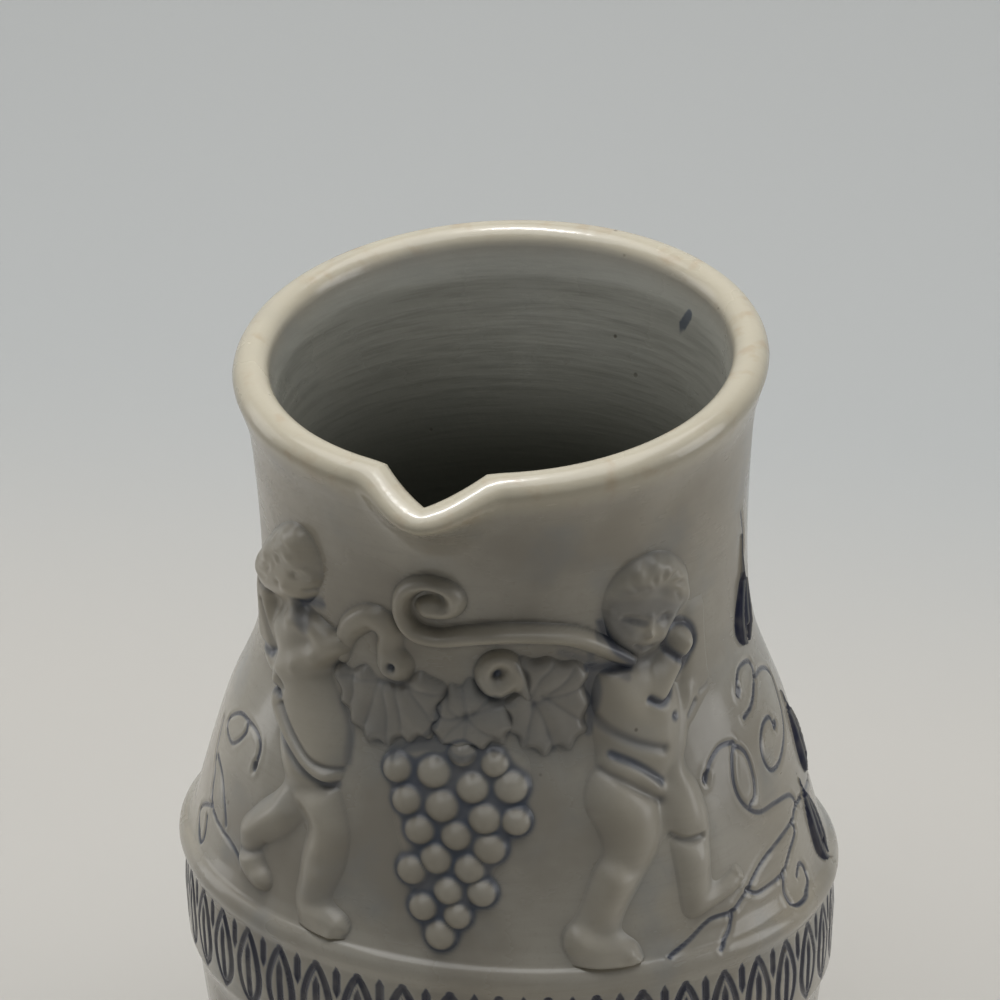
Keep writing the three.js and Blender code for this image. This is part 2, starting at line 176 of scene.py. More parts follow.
def outer_profile():
    """(radius, height) from the edge of the base to the top of the rim."""
    foot = (FOOT_RADIUS, FOOT_BEVEL)
    under_band = (BAND_RADIUS - 2 * BAND_EDGE, BAND_BOTTOM - 4 * BAND_EDGE)
    swell = [between(foot, under_band, 0.4, 0.27), between(foot, under_band, 0.78, 0.57)]
    lower_body = spline([foot, *swell, under_band], 40)
    band = [
        (BAND_RADIUS - BAND_EDGE, BAND_BOTTOM - BAND_EDGE),
        (BAND_RADIUS, BAND_BOTTOM + BAND_EDGE),
        (BAND_RADIUS + BAND_SWELL, (BAND_BOTTOM + BEAD_HEIGHT) / 2),
        (BAND_RADIUS, BEAD_HEIGHT - BEAD_HALF_WIDTH),
    ]
    bead = rounded_edge((BEAD_RADIUS - BEAD_HALF_WIDTH, BEAD_HEIGHT), BEAD_HALF_WIDTH, -25, 70, 12)
    ledge = (BEAD_RADIUS - LEDGE, BEAD_HEIGHT + 1.7 * BEAD_HALF_WIDTH)
    flare, neck = (FLARE_RADIUS, FLARE_HEIGHT), (NECK_RADIUS, NECK_HEIGHT)
    under_rim = (RIM_RADIUS - 0.3 * RIM_ROLL, RIM_HEIGHT - 1.9 * RIM_ROLL)
    belly = [ledge, between(ledge, flare, 0.5, 0.52), flare, between(flare, neck, 0.79, 0.485)]
    above = [*belly, neck, between(neck, under_rim, 0.32, 0.73), under_rim]
    rim = rounded_edge((RIM_RADIUS - RIM_ROLL, RIM_HEIGHT - RIM_ROLL), RIM_ROLL, 0, 90)
    return np.concatenate([lower_body, band, bead, spline(above, 120), rim])


OUTER = outer_profile()


def wall_radius(height):
    """Radius of the outside at a height, before it is settled."""
    return np.interp(height, OUTER[:, 1], OUTER[:, 0])


def inner_profile():
    """(radius, height) from the top of the rim down to the floor."""
    inside = RIM_RADIUS - LIP_THICKNESS
    rim = rounded_edge((inside + RIM_ROLL, RIM_HEIGHT - RIM_ROLL), RIM_ROLL, 95, 180)
    wall_foot = (wall_radius(FLOOR + FLOOR_CURVE) - WALL, FLOOR + FLOOR_CURVE)
    floor = (FOOT_RADIUS / 2, FLOOR)
    corners = [
        (inside - BEAD_PROUD, RIM_HEIGHT - RIM_DEPTH),
        (wall_radius(NECK_HEIGHT) - WALL, NECK_HEIGHT),
        (wall_radius(FLARE_HEIGHT) - WALL, FLARE_HEIGHT),
        (BAND_RADIUS - BAND_EDGE - WALL, BEAD_HEIGHT),
        (BAND_RADIUS - 2 * BAND_EDGE - WALL, BAND_BOTTOM),
        wall_foot,
        between(floor, wall_foot, 0.65, 0.18),
        floor,
        (1.0, FLOOR),
    ]
    return np.concatenate([rim, spline(corners, 80)])


def degrees_round(points):
    return np.degrees(np.arctan2(points[..., 0], -points[..., 1]))


def round_pot(degrees, radius, height):
    """Points in mm at these degrees, distances from the axis and heights."""
    around = np.radians(degrees)
    return np.stack([radius * np.sin(around), -radius * np.cos(around), height], -1)


def settling(points, height):
    """How far a point rises, and how its depth stretches, when the round shape is settled."""
    around = np.radians(degrees_round(points))
    reach = np.minimum(np.hypot(points[..., 0], points[..., 1]), BEAD_RADIUS)
    rim_share = smoothstep(RIM_DIP_FROM, RIM_HEIGHT, height)
    above = smoothstep(BEAD_HEIGHT + 2 * BEAD_HALF_WIDTH, BAND_LEVEL_ABOVE, height)
    band_share = smoothstep(BAND_LEVEL_BELOW, BAND_BOTTOM - BAND_EDGE, height) * (1 - above)
    dip = math.tan(math.radians(RIM_DIP_DEG)) * np.cos(around - math.radians(RIM_DIP_TOWARDS_DEG))
    rise = math.tan(math.radians(BAND_SLOPE_DEG)) * np.cos(around - math.radians(BAND_HIGH_SIDE_DEG))
    return reach * (rise * band_share - dip * rim_share), 1 + RIM_OVAL * rim_share


def settle(points):
    """Moves points from the true round shape to the finished one: askew band, dipping rim."""
    climb, stretch = settling(points, points[..., 2])
    moved = points.copy()
    moved[..., 1] *= stretch
    moved[..., 2] += climb
    return moved


def pinch(points, height):
    """Pulls the rim out and down into a V at the lip. height is from before settling."""
    around = np.abs(degrees_round(points)) / LIP_HALF_ANGLE
    radius = np.hypot(points[..., 0], points[..., 1])
    round_radius = radius / (1 + RIM_OVAL * smoothstep(RIM_DIP_FROM, RIM_HEIGHT, height))
    outside = np.clip((round_radius - RIM_RADIUS + LIP_THICKNESS) / LIP_THICKNESS, 0, 1)
    share = lerp(np.clip(1 - around, 0, 1), smoothstep(LIP_SPREAD, 0, around), outside)
    push = LIP_PUSH * share * smoothstep(RIM_HEIGHT - LIP_DEPTH, RIM_HEIGHT, height)
    moved = points.copy()
    moved[..., :2] *= (1 + push / np.maximum(radius, 1))[..., None]
    moved[..., 2] -= LIP_DROP * share * smoothstep(RIM_HEIGHT - 2 * LIP_THICKNESS, RIM_HEIGHT, height)
    return moved


def on_wall(places, lift=0.0):
    """Points on the unsettled wall at [degrees, height] places."""
    degrees, height = np.moveaxis(np.asarray(places, float), -1, 0)
    return round_pot(degrees, wall_radius(height) + lift, height)


# The photograph's camera, and places on the pot under its pixels


def camera_axes():
    """Right, up and forward of the camera."""
    x, y, z = np.eye(3)
    right, level = turned(x, y, CAMERA_ROUND)
    forward, down = turned(level, -z, CAMERA_PITCH)
    return *turned(right, -down, CAMERA_ROLL), forward


def under(pixels):
    """[degrees, height] places on the outer wall that the camera sees at these pixels."""
    pixels = np.array(pixels, float).reshape(-1, 2)
    right, up, forward = camera_axes()
    aside, down = (pixels.T - IMAGE_PIXELS / 2) / FOCAL_PIXELS
    rays = forward + aside[:, None] * right - down[:, None] * up
    points = CAMERA_PLACE + rays[:, None, :] * SIGHT_MM[None, :, None]
    height = points[..., 2]
    for _ in range(SETTLING_ROUNDS):
        climb, stretch = settling(points, height)
        height = points[..., 2] - climb
    points[..., 1] /= stretch
    gap = np.hypot(points[..., 0], points[..., 1]) - wall_radius(height)
    gap[height > RIM_HEIGHT - 1] = math.inf
    inside = gap < 0
    first = np.where(inside.any(1), inside.argmax(1), np.abs(gap).argmin(1))
    seen = np.arange(len(pixels)), first
    return np.stack([degrees_round(points[seen]), height[seen]], 1)


# Relief charts: heights above the wall on a grid of degrees and heights


def along_line(points, line):
    """Distance from points to a polyline, and the share of its length at the nearest spot."""
    lengths = np.linalg.norm(np.diff(line, axis=0), axis=1)
    reached = np.concatenate([[0], np.cumsum(lengths)])
    best = np.full(points.shape[:-1], math.inf)
    share = np.zeros(best.shape)
    for start, end, length, before in zip(line[:-1], line[1:], lengths, reached):
        step = end - start
        t = np.clip((points - start) @ step / max(step @ step, TINY), 0, 1)
        gap = np.linalg.norm(points - start - t[..., None] * step, axis=-1)
        closer = gap < best
        best[closer] = gap[closer]
        share[closer] = (before + t[closer] * length) / max(reached[-1], TINY)
    return best, share


class Chart:
    """A grid of places on the wall, over which heights of sprigs are worked out."""

    def __init__(self, first_deg, last_deg, low, high):
        self.degrees = np.linspace(first_deg, last_deg, int((last_deg - first_deg) / CHART_DEG))
        self.heights = np.linspace(low, high, int((high - low) / CHART_MM))
        self.places = np.stack(np.meshgrid(self.degrees, self.heights), -1)
        self.points = on_wall(self.places)
        self.shape = self.places.shape[:2]

    def sample(self, values, places):
        """Values of the chart at places, or 0 outside it."""
        rows, columns = self.shape
        column = np.interp(places[..., 0], self.degrees, range(columns), -1, -1)
        row = np.interp(places[..., 1], self.heights, range(rows), -1, -1)
        left = np.clip(column.astype(int), 0, columns - 2)
        lower = np.clip(row.astype(int), 0, rows - 2)
        a, b = column - left, row - lower
        low = lerp(values[lower, left], values[lower, left + 1], a)
        high = lerp(values[lower + 1, left], values[lower + 1, left + 1], a)
        return np.where((column >= 0) & (row >= 0), lerp(low, high, b), 0)


def blurred(values, steps):
    """Values averaged over a square of 2 * steps + 1 grid steps, twice."""
    size = 2 * steps + 1
    for _ in range(4):
        total = np.cumsum(np.pad(values, ((steps + 1, steps), (0, 0)), "edge"), 0)
        values = ((total[size:] - total[:-size]) / size).T
    return values


def dome(share, rise, fullness):
    """Height of a rounded form across its half width, running on down below the wall."""
    return rise * (1 - share**fullness)


FAR_BELOW = -9.0
SUNK = -2.5
FORM_REACH = 3
OUTLINE_STEPS = 6


class Sprig:
    """Heights of one moulded sprig over a chart, with the cobalt painted on it. Sizes are in mm."""

    def __init__(self, chart):
        self.chart = chart
        self.height = np.full(chart.shape, FAR_BELOW)
        self.cobalt = np.zeros(chart.shape)

    def near(self, line, reach):
        """The chart's rows and columns within reach of a line of places."""
        (left, low), (right, high) = line.min(0), line.max(0)
        aside = math.degrees(reach / NECK_RADIUS)
        columns = np.searchsorted(self.chart.degrees, [left - aside, right + aside])
        rows = np.searchsorted(self.chart.heights, [low - reach, high + reach])
        return slice(*rows), slice(*columns)

    def gap(self, line, reach):
        """The box near a line, the distance to the line there, and the share of its length."""
        box = self.near(line, reach)
        return box, *along_line(self.chart.points[box], on_wall(line))

    def join(self, height, blend, box):
        self.height[box] = smooth_max(self.height[box], height, blend)
        return self

    def form(self, pixels, foot, top, width, blend=0.5):
        """A pillow in a smooth outline: heights at its foot and top, and width from edge to crown."""
        outline = closed_line(pixels)
        box, gap, _ = self.gap(outline, FORM_REACH)
        places = self.chart.places[box]
        signed = np.where(enclosed(places, outline), gap, -gap)
        low, high = outline[:, 1].min(), outline[:, 1].max()
        rise = lerp(foot, top, smoothstep(low, high, places[..., 1]))
        share = np.clip(signed / width, -1, 1)
        height = rise * np.where(share > 0, share * (2 - share), 2 * share)
        return self.join(blurred(height, max(1, round(1.1 * width))), blend, box)

    def limb(self, pixels, widths, rises, blend, fullness=2.4, steps=24):
        """A rounded bar along a line, with half widths and heights spread evenly along it."""
        box, gap, share = self.gap(smooth_line(pixels, steps), 2 * max(widths))
        width = np.interp(share, np.linspace(0, 1, len(widths)), widths)
        rise = np.interp(share, np.linspace(0, 1, len(rises)), rises)
        return self.join(dome(gap / width, rise, fullness), blend, box)

    def lump(self, pixel, across, up, rise, blend=0.5, fullness=2.4):
        """A rounded lump, with half sizes across and up the wall."""
        place = under(pixel)[0]
        box = self.near(place[None, :], 2 * max(across, up))
        around = math.radians(place[0])
        away = self.chart.points[box] - on_wall(place)
        x = away @ np.array([math.cos(around), math.sin(around), 0])
        slope = on_wall(place + (0, 0.5)) - on_wall(place - (0, 0.5))
        y = away @ (slope / np.linalg.norm(slope))
        return self.join(dome(np.hypot(x / across, y / up), rise, fullness), blend, box)

    def groove(self, pixels, width, depth):
        """A groove along a line, or a ridge if its depth is below 0. One pixel gives a round one."""
        box, gap, _ = self.gap(smooth_line(pixels), 4 * width)
        self.height[box] -= depth * bell(gap, width)
        return self

    def waves(self, pixels, centre, arms, twist, ring, depth):
        """Locks or crinkles wound round a crown: how many arms, how twisted, and how far apart the rings."""
        outline = closed_line(pixels)
        box, gap, _ = self.gap(outline, 1)
        places = self.chart.places[box]
        crown = under(centre)[0]
        x = np.radians(places[..., 0] - crown[0]) * wall_radius(crown[1])
        y = places[..., 1] - crown[1]
        out, around = np.hypot(x, y), np.arctan2(y, x)
        lock = np.cos(arms * around + twist * out) * (0.55 + 0.45 * np.cos(2 * math.pi * out / ring + around))
        fade = smoothstep(0, 1, gap) * enclosed(places, outline) * smoothstep(0.8, 2.6, out)
        self.height[box] += depth * lock * fade
        return self

    def paint(self, pixels, width, strength):
        """Cobalt along a line, or in a dot at one pixel."""
        box, gap, _ = self.gap(smooth_line(pixels), 3 * width)
        painted = strength * smoothstep(1.5 * width, 0.4 * width, gap)
        self.cobalt[box] = np.maximum(self.cobalt[box], painted)
        return self

    def soften(self, steps):
        self.height = blurred(np.maximum(self.height, SUNK), steps)
        return self


def closed_line(pixels):
    """Places round a smooth closed outline through the pixels."""
    corners = under(pixels)
    wrapped = np.concatenate([corners[-1:], corners, corners[:2]])
    return spline(wrapped, OUTLINE_STEPS * (len(wrapped) - 1))[OUTLINE_STEPS:-OUTLINE_STEPS]


def enclosed(places, outline):
    """Which places a closed outline goes round."""
    x, y = places[..., 0], places[..., 1]
    within = np.zeros(x.shape, bool)
    for (x0, y0), (x1, y1) in zip(outline[:-1], outline[1:]):
        if y0 != y1:
            within ^= ((y0 > y) != (y1 > y)) & (x < x0 + (y - y0) * (x1 - x0) / (y1 - y0))
    return within


def smooth_line(pixels, steps=24):
    """Places under the pixels, joined by a smooth curve. One pixel gives its place twice."""
    places = under(pixels)
    return spline(places, steps) if len(places) > 1 else places[[0, 0]]


# The sprigs at the front, each shaped over pixels of the photograph

GRAPES = [
    (399, 766, 18), (435, 770, 20), (463, 751, 16), (495, 762, 16), (473, 786, 19), (511, 785, 20),
    (408, 798, 18), (443, 804, 20), (485, 817, 19), (516, 820, 17), (421, 828, 18), (457, 834, 18),
    (490, 847, 19), (437, 857, 19), (413, 868, 18), (470, 867, 18), (449, 889, 17), (482, 891, 17),
    (424, 905, 17), (458, 914, 16), (441, 933, 18),
]
PIXELS_PER_MM = 8.6
GRAPE_RISE = 1.5
GRAPE_SHARE = 0.98
BUNCH = [400,750, 520,752, 512,822, 478,895, 445,935, 415,890]
BUNCH_COBALT = 0.78
SHADE_COBALT = 0.55
# Half width in mm and line of each shade painted above the bunch and beside the leaves
GRAPE_SHADE = [
    (0.9, 395,750, 412,745, 432,744, 446,752),
    (0.7, 438,738, 456,753, 478,754),
    (0.5, 426,734, 437,722, 441,704),
    (0.5, 590,655, 595,680, 592,708, 588,732),
]


def grape_bunch():
    sprig = Sprig(front)
    for x, y, radius in GRAPES:
        size = GRAPE_SHARE * radius / PIXELS_PER_MM
        sprig.lump((x, y), size, size, GRAPE_RISE, blend=0.06, fullness=2.2)
    near_grapes = smoothstep(0.1, 0.55, blurred((sprig.height > 0).astype(float), 3))
    sprig.form(BUNCH, 0.3, 0.3, 1)
    sprig.cobalt = BUNCH_COBALT * near_grapes * smoothstep(0.85, 0.35, sprig.height)
    for width, *pixels in GRAPE_SHADE:
        sprig.paint(pixels, width, SHADE_COBALT)
    return sprig


POLE = [628,658, 603,646, 570,635, 520,632, 475,634, 440,637, 414,629, 403,608, 408,589, 426,582, 447,587,
    456,599, 449,609, 430,608]
POLE_HALF_WIDTHS = [1.1, 1.4, 1.45, 1.4, 1.3, 1.25, 1.4]
POLE_RISES = [1.4, 2.1, 2.2, 1.9, 1.7, 1.8]
POLE_UNDERSIDE = [430,646, 480,648, 560,650]
# Strength and line of each cobalt stroke by the pole: the first paints the pole's shadow on the wall below
# it, the second a stroke above its right end
POLE_SHADOW_AND_LINE = [(0.4, 560,652, 590,660, 622,672), (0.5, 596,634, 612,642, 628,652)]
VOLUTE_MIDDLE = (433, 606)
VOLUTE_GROOVE = [453,622, 439,626, 422,621, 413,611, 415,598, 428,593]


def carrying_pole():
    sprig = Sprig(front).limb(POLE, POLE_HALF_WIDTHS, POLE_RISES, 0.3, 2, 60)
    sprig.lump(VOLUTE_MIDDLE, 2.1, 1.9, 1.6).groove(POLE_UNDERSIDE, 0.5, 0.3)
    for strength, *pixels in POLE_SHADOW_AND_LINE:
        sprig.paint(pixels, 0.5, strength)
    return sprig.soften(1).groove(VOLUTE_GROOVE, 0.35, 0.4)


LEFT_BUD_HOOD = [343,654, 350,628, 372,616, 391,630, 388,648]
RIGHT_BUD_CURL = [528,699, 524,688, 520,674, 509,659, 493,659, 484,672, 490,686, 502,688, 509,680]
BUD_RISE = 2.2
# Strength of the cobalt painted into each hole as its shade
HOLE_SHADE_PAINT = 0.8


def curled_bud(centre, across, up, hood):
    """A bud with a hole in it, painted dark as its shade, and the curl that stands over it."""
    sprig = Sprig(front).lump(centre, across, up, BUD_RISE, blend=0.6, fullness=2)
    sprig.limb(hood, [1.1, 1.7, 1.9, 1.5], [1, 1.5, 1.7, 1.5], 0.6, 2).groove(hood, 0.5, 0.25)
    return sprig.soften(2).groove(centre, 0.62, 1.3).paint(centre, 0.5, HOLE_SHADE_PAINT)


def curled_tendril(centre, curl):
    """The end of a tendril, wound round a hollow that is painted dark as its shade."""
    sprig = Sprig(front).limb(curl, [0.8, 1.1, 1.3, 1.2], [1.4, 1.6, 1.8, 1.7], 0.8, 2, 60)
    return sprig.soften(3).groove(centre, 0.5, 0.5).paint(centre, 0.45, HOLE_SHADE_PAINT)


# Outline and veins of each vine leaf
VINE_LEAVES = {
    "left_vine_leaf": [
        [334,672, 342,661, 352,668, 366,664, 376,674, 392,680, 408,680, 420,670, 430,676, 446,684, 447,698,
            440,706, 446,718, 437,726, 431,740, 420,735, 411,744, 400,737, 389,747, 380,739, 369,742,
            362,728, 352,722, 350,708, 341,700, 343,687],
        [342,672, 380,680, 418,687, 443,693],
        [356,674, 358,690, 354,704],
        [380,681, 376,700, 366,728],
        [396,684, 402,708, 404,738],
        [410,686, 424,704, 436,722],
        [384,682, 390,710, 388,742],
    ],
    "centre_vine_leaf": [
        [445,694, 450,682, 461,686, 470,676, 480,688, 496,698, 508,700, 513,714, 520,728, 508,732, 505,745,
            492,741, 484,752, 473,746, 461,754, 450,745, 439,747, 436,734, 427,726, 436,715, 434,703],
        [464,690, 467,714, 465,736],
        [434,712, 450,716, 466,715, 490,706, 514,702],
        [466,716, 482,728, 500,738],
        [465,718, 452,728, 440,742],
        [474,712, 484,702, 496,693],
        [458,714, 450,704, 448,692],
    ],
    "right_vine_leaf": [
        [514,662, 522,655, 534,659, 548,656, 562,661, 576,660, 589,672, 584,686, 591,700, 584,714, 588,730,
            577,736, 570,750, 557,745, 545,757, 534,748, 521,749, 517,735, 505,729, 508,714, 498,706,
            508,697, 520,688, 522,675],
        [532,704, 545,697, 566,690, 588,682],
        [530,697, 542,716, 553,748],
        [541,694, 562,706, 584,722],
        [531,694, 540,676, 552,664],
        [534,700, 529,720, 525,744],
        [548,692, 562,680, 572,668],
        [528,694, 528,676, 524,662],
    ],
}
LEAF_COBALT = 0.28


def vine_leaf(outline, *veins):
    """A leaf that swells between its veins, with a crinkled blade."""
    sprig = Sprig(front).form(outline, 1.2, 1.2, 1.3)
    for vein in veins:
        sprig.groove(vein, 0.8, 0.2)
    middle = np.reshape(outline, (-1, 2)).mean(0)
    sprig.waves(outline, middle, 7, 0.5, 2.6, 0.08).soften(1)
    for vein in veins:
        sprig.groove(vein, 0.26, 0.12).paint(vein, 0.4, 0.36)
    sprig.cobalt = np.maximum(sprig.cobalt, LEAF_COBALT * smoothstep(-0.4, 0.2, sprig.height))
    return sprig


# The two figures. Forms: heights at the foot and at the top, width from the edge to the crown, and outline.
# Limbs: line, half widths, heights and blend. Strokes: width, depth, which is below 0 for a ridge or bump,
# strength of the cobalt, and a line or one pixel.

RIGHT_FORMS = {
    "wing": (0.4, 0.3, 1.2, 684,612, 700,597, 720,592, 732,606, 731,630, 724,652, 714,676, 700,702, 688,722,
        680,700, 684,660),
    "far_thigh": (1.56, 1.72, 2.6, 672,768, 684,764, 694,776, 702,795, 708,815, 709,838, 700,843, 684,843,
        669,838, 661,824, 659,805, 660,786),
    "far_shin": (1.17, 1.48, 2.2, 671,836, 686,834, 702,834, 709,845, 710,870, 709,888, 704,905, 693,916,
        683,914, 680,900, 677,880, 673,860),
    "far_foot": (1.33, 1.09, 1.7, 684,902, 695,893, 708,889, 720,880, 731,868, 738,863, 743,872, 740,886,
        728,897, 712,908, 698,917, 686,919),
    "thigh": (2.11, 2.57, 4, 602,762, 620,764, 640,776, 655,790, 660,806, 661,830, 657,850, 648,868,
        630,874, 610,870, 603,856, 602,842, 597,828, 588,816, 583,800, 585,782, 593,768),
    "calf": (1.56, 2.18, 3, 606,856, 625,858, 648,862, 641,880, 631,898, 623,914, 618,930, 600,934, 580,932,
        571,925, 579,910, 585,893, 590,877, 597,864),
    "foot": (1.25, 1.79, 2.2, 568,925, 582,922, 600,930, 617,930, 626,935, 638,943, 643,955, 636,967,
        622,975, 606,978, 590,972, 575,963, 564,952, 561,938),
    "torso": (1.95, 2.18, 3.6, 600,668, 620,661, 645,660, 664,668, 676,690, 681,715, 680,745, 673,766,
        660,782, 640,776, 618,766, 600,758, 594,740, 590,715, 591,690),
    "shoulder": (2.34, 2.65, 3.2, 597,676, 611,667, 630,668, 642,679, 647,695, 657,708, 665,725, 658,743,
        640,741, 620,731, 604,723, 593,713, 591,692),
    "sash": (2.3, 2.3, 1.6, 598,745, 612,748, 632,757, 650,768, 663,778, 662,796, 648,792, 628,781, 610,773,
        596,765),
    "head": (2.03, 2.34, 3.6, 604,612, 606,596, 613,580, 625,567, 641,557, 657,551, 672,554, 683,565,
        687,581, 683,599, 676,614, 669,632, 660,646, 648,655, 632,657, 618,651, 608,640, 603,626),
}
RIGHT_LIMBS = [
    ([686,690, 680,720, 677,750, 672,774], [0.9, 1.1, 0.9], [0.9, 1.1, 1], 1),
    ([676,644, 668,660, 657,676, 648,694], [1.3, 1.5, 1.8, 1.8], [2, 2.2, 2.5, 2.5], 0.8),
]
RIGHT_FIST = [(677, 638)]
RIGHT_HAIR = [602,612, 605,592, 616,575, 632,561, 656,551, 676,555, 687,574, 685,598, 677,617, 667,612,
    664,596, 650,590, 630,592, 616,600, 609,616]
# The strokes from 619,615 and 648,613 paint cobalt into the eyes that also stands in for their shade
RIGHT_STROKES = [
    (1.2, 0.3, 0, 652,583), (0.5, 0.4, 0, 667,711), (1.6, -0.45, 0, 609,871), (1.2, -0.4, 0, 575,934),
    (1, -0.6, 0, 629,949), (0.5, -0.45, 0, 638,957), (0.5, -0.4, 0, 633,966), (0.45, -0.35, 0, 624,971),
    (0.5, -0.45, 0, 734,868), (0.45, -0.4, 0, 739,875), (0.4, -0.35, 0, 738,884), (0.6, 0.3, 0, 620,614),
    (1.1, -0.4, 0, 622,633), (1, -0.4, 0, 653,631), (0.8, -0.45, 0, 636,650), (0.75, 0.6, 0, 627,615),
    (0.75, 0.6, 0, 655,612), (0.35, -0.25, 0, 627,616), (0.35, -0.25, 0, 655,613), (0.55, -0.5, 0, 639,629),
    (1.2, -0.45, 0, 607,606, 612,588, 626,572, 645,562, 664,561, 679,574, 679,598),
    (0.45, -0.3, 0, 640,610, 639,627),
    (0.5, 0.45, 0.9, 670,621, 681,620, 690,628, 692,640, 686,652, 675,655, 665,650, 661,638, 664,627,
        674,620),
    (0.5, 0.5, 0.9, 687,651, 683,661, 673,675, 662,689, 652,697, 641,693),
    (0.9, 0.1, 0.25, 620,592, 640,586, 658,590, 672,600),
    (0.5, 0.4, 0.85, 600,622, 606,636, 613,647, 628,658), (0.6, 0.4, 0.85, 588,666, 604,667, 626,663),
    (0.5, 0.4, 0.6, 592,672, 588,692, 591,714), (0.6, 0.5, 0.35, 593,716, 605,725, 628,736, 655,743),
    (0.5, 0.3, 0.8, 608,750, 625,757, 641,766, 657,778),
    (0.5, 0.35, 0.2, 600,767, 620,778, 640,789, 658,798), (1.6, 0, 0.42, 616,606, 640,602, 664,610),
    (1.4, 0, 0.42, 616,640, 638,652, 656,642), (1.5, 0, 0.42, 612,612, 614,626, 622,636),
    (0.5, 0.6, 0.1, 670,834, 682,838, 698,833), (0.4, 0.3, 0.45, 712,629, 719,620, 726,612),
    (0.4, 0.3, 0.4, 707,662, 715,652, 721,641), (0.4, 0.25, 0.15, 698,690, 706,681, 712,670),
    (0.4, 0.3, 0.4, 685,713, 689,706, 692,699), (0.55, 0.1, 0.5, 619,615, 634,617),
    (0.55, 0.1, 0.5, 648,613, 661,611), (0.26, 0.3, 0.15, 630,641, 637,643, 645,641),
    (0.5, 0, 0.85, 666,711, 668,712),
]
LEFT_FORMS = {
    "wing": (1.2, 1.2, 1.6, 266,552, 273,547, 278,562, 276,587, 278,610, 283,635, 289,660, 286,679, 277,677,
        269,656, 265,630, 265,600, 264,575),
    "far_thigh": (1.56, 1.87, 3, 290,780, 276,792, 264,799, 253,809, 243,818, 240,830, 244,842, 254,849,
        266,845, 280,838, 294,830, 304,816, 300,797),
    "far_shin": (1.25, 1.56, 1.9, 242,836, 254,842, 264,846, 265,862, 271,872, 274,884, 266,892, 255,887,
        247,877, 241,862),
    "thigh": (2.03, 2.42, 3.9, 284,766, 300,773, 320,783, 338,780, 343,800, 348,818, 351,838, 347,858,
        341,874, 325,876, 307,870, 303,855, 306,840, 311,825, 303,808, 292,792),
    "calf": (1.48, 2.03, 2.9, 304,850, 320,852, 346,856, 342,875, 334,890, 327,904, 312,908, 297,904,
        297,888, 301,870),
    "foot": (1.17, 1.64, 1.9, 297,898, 310,898, 326,900, 338,907, 349,917, 352,928, 343,937, 330,939,
        316,933, 304,923, 297,912),
    "torso": (2.34, 1.95, 4, 278,612, 292,603, 308,611, 318,630, 326,650, 331,672, 339,694, 347,712,
        353,735, 351,758, 341,778, 322,788, 304,790, 290,780, 283,760, 281,735, 283,705, 282,680, 284,655,
        278,632),
    "head": (2.5, 2.6, 3, 267,560, 268,544, 274,531, 284,523, 295,522, 307,530, 316,544, 322,562, 323,580,
        318,595, 308,603, 295,603, 282,597, 272,584),
}
LEFT_LIMBS = [
    ([286,672, 287,700, 303,738, 320,766, 334,774], [1.1, 1.3, 1.3, 1.2, 1.1], [2, 2.4, 2.6, 2.5, 2.3], 0.5),
    ([292,664, 310,658, 328,650, 343,642], [2, 2, 1.7], [2.4, 2.3, 1.9], 1.4),
    ([300,616, 316,624, 332,638], [1.6, 1.6, 1.4], [2, 2, 1.8], 1.4),
]
LEFT_HAIR = [267,578, 266,556, 267,542, 273,530, 284,522, 295,522, 307,530, 316,544, 318,558, 308,560,
    299,560, 291,568, 287,582, 278,592, 269,590]
# The strokes from 303,602 and 305,602 paint shade under the chin, and the one from 345,702 paints shade down
# the torso's right edge
LEFT_STROKES = [
    (1.1, -0.3, 0, 284,548), (0.8, 0.3, 0, 276,556), (1.1, -0.4, 0, 303,583), (0.5, -0.6, 0, 320,578),
    (0.8, -0.45, 0, 311,597), (0.6, 0.55, 0, 309,569), (0.3, -0.25, 0, 310,570), (0.5, 0.25, 0, 296,577),
    (0.9, -0.35, 0, 342,924), (0.5, -0.25, 0, 348,929), (0.5, -0.2, 0, 332,933), (1, -0.35, 0, 264,876),
    (0.7, -0.3, 0, 268,884), (0.8, -0.2, 0, 309,664), (0.8, -0.2, 0, 326,656),
    (0.35, -0.3, 0, 316,566, 320,574), (0.55, 0.7, 0.5, 283,708, 300,742, 314,766, 327,781, 338,784),
    (0.45, 0.5, 0.3, 294,700, 307,730, 320,753, 333,764, 344,768),
    (0.6, 0.4, 0.8, 269,640, 274,645, 280,650), (0.45, 0.2, 0.7, 281,678, 288,684, 293,691),
    (0.45, 0.35, 0.1, 270,598, 276,626, 286,657, 296,684), (0.9, 0.3, 0.5, 303,602, 309,612, 314,622),
    (0.6, 0.4, 0.8, 305,602, 314,601, 322,603), (0.45, 0.1, 0.35, 345,702, 352,730, 349,762),
    (0.26, 0.3, 0.15, 314,588, 320,588), (0.4, 0.3, 0.3, 269,580, 276,590),
    (0.4, 0.5, 0.6, 284,682, 290,688), (0.5, 0.5, 0.1, 244,847, 256,851, 266,847),
]
PAINT_SHARE = 1.15
FORM_BLEND = 0.6
FIST_SIZE = (1.9, 1.8, 2.5)


def putto(forms, limbs, fists, hair, strokes):
    """A figure, softened as a whole before its hair and its strokes are worked in."""
    sprig = Sprig(front)
    for foot, top, width, *outline in forms.values():
        sprig.form(outline, foot, top, width, FORM_BLEND)
    for limb in limbs:
        sprig.limb(*limb)
    for fist in fists:
        sprig.lump(fist, *FIST_SIZE, blend=0.8, fullness=2)
    sprig.soften(3).waves(*hair)
    for width, depth, cobalt, *pixels in strokes:
        sprig.groove(pixels, width, depth).paint(pixels, PAINT_SHARE * width, cobalt)
    return sprig


# Leaves at the two sides, filled with cobalt between pale veins

LEAF_RISE = 0.6
STEM_HALF_WIDTH = 0.16
VEIN_WIDTH = 0.15


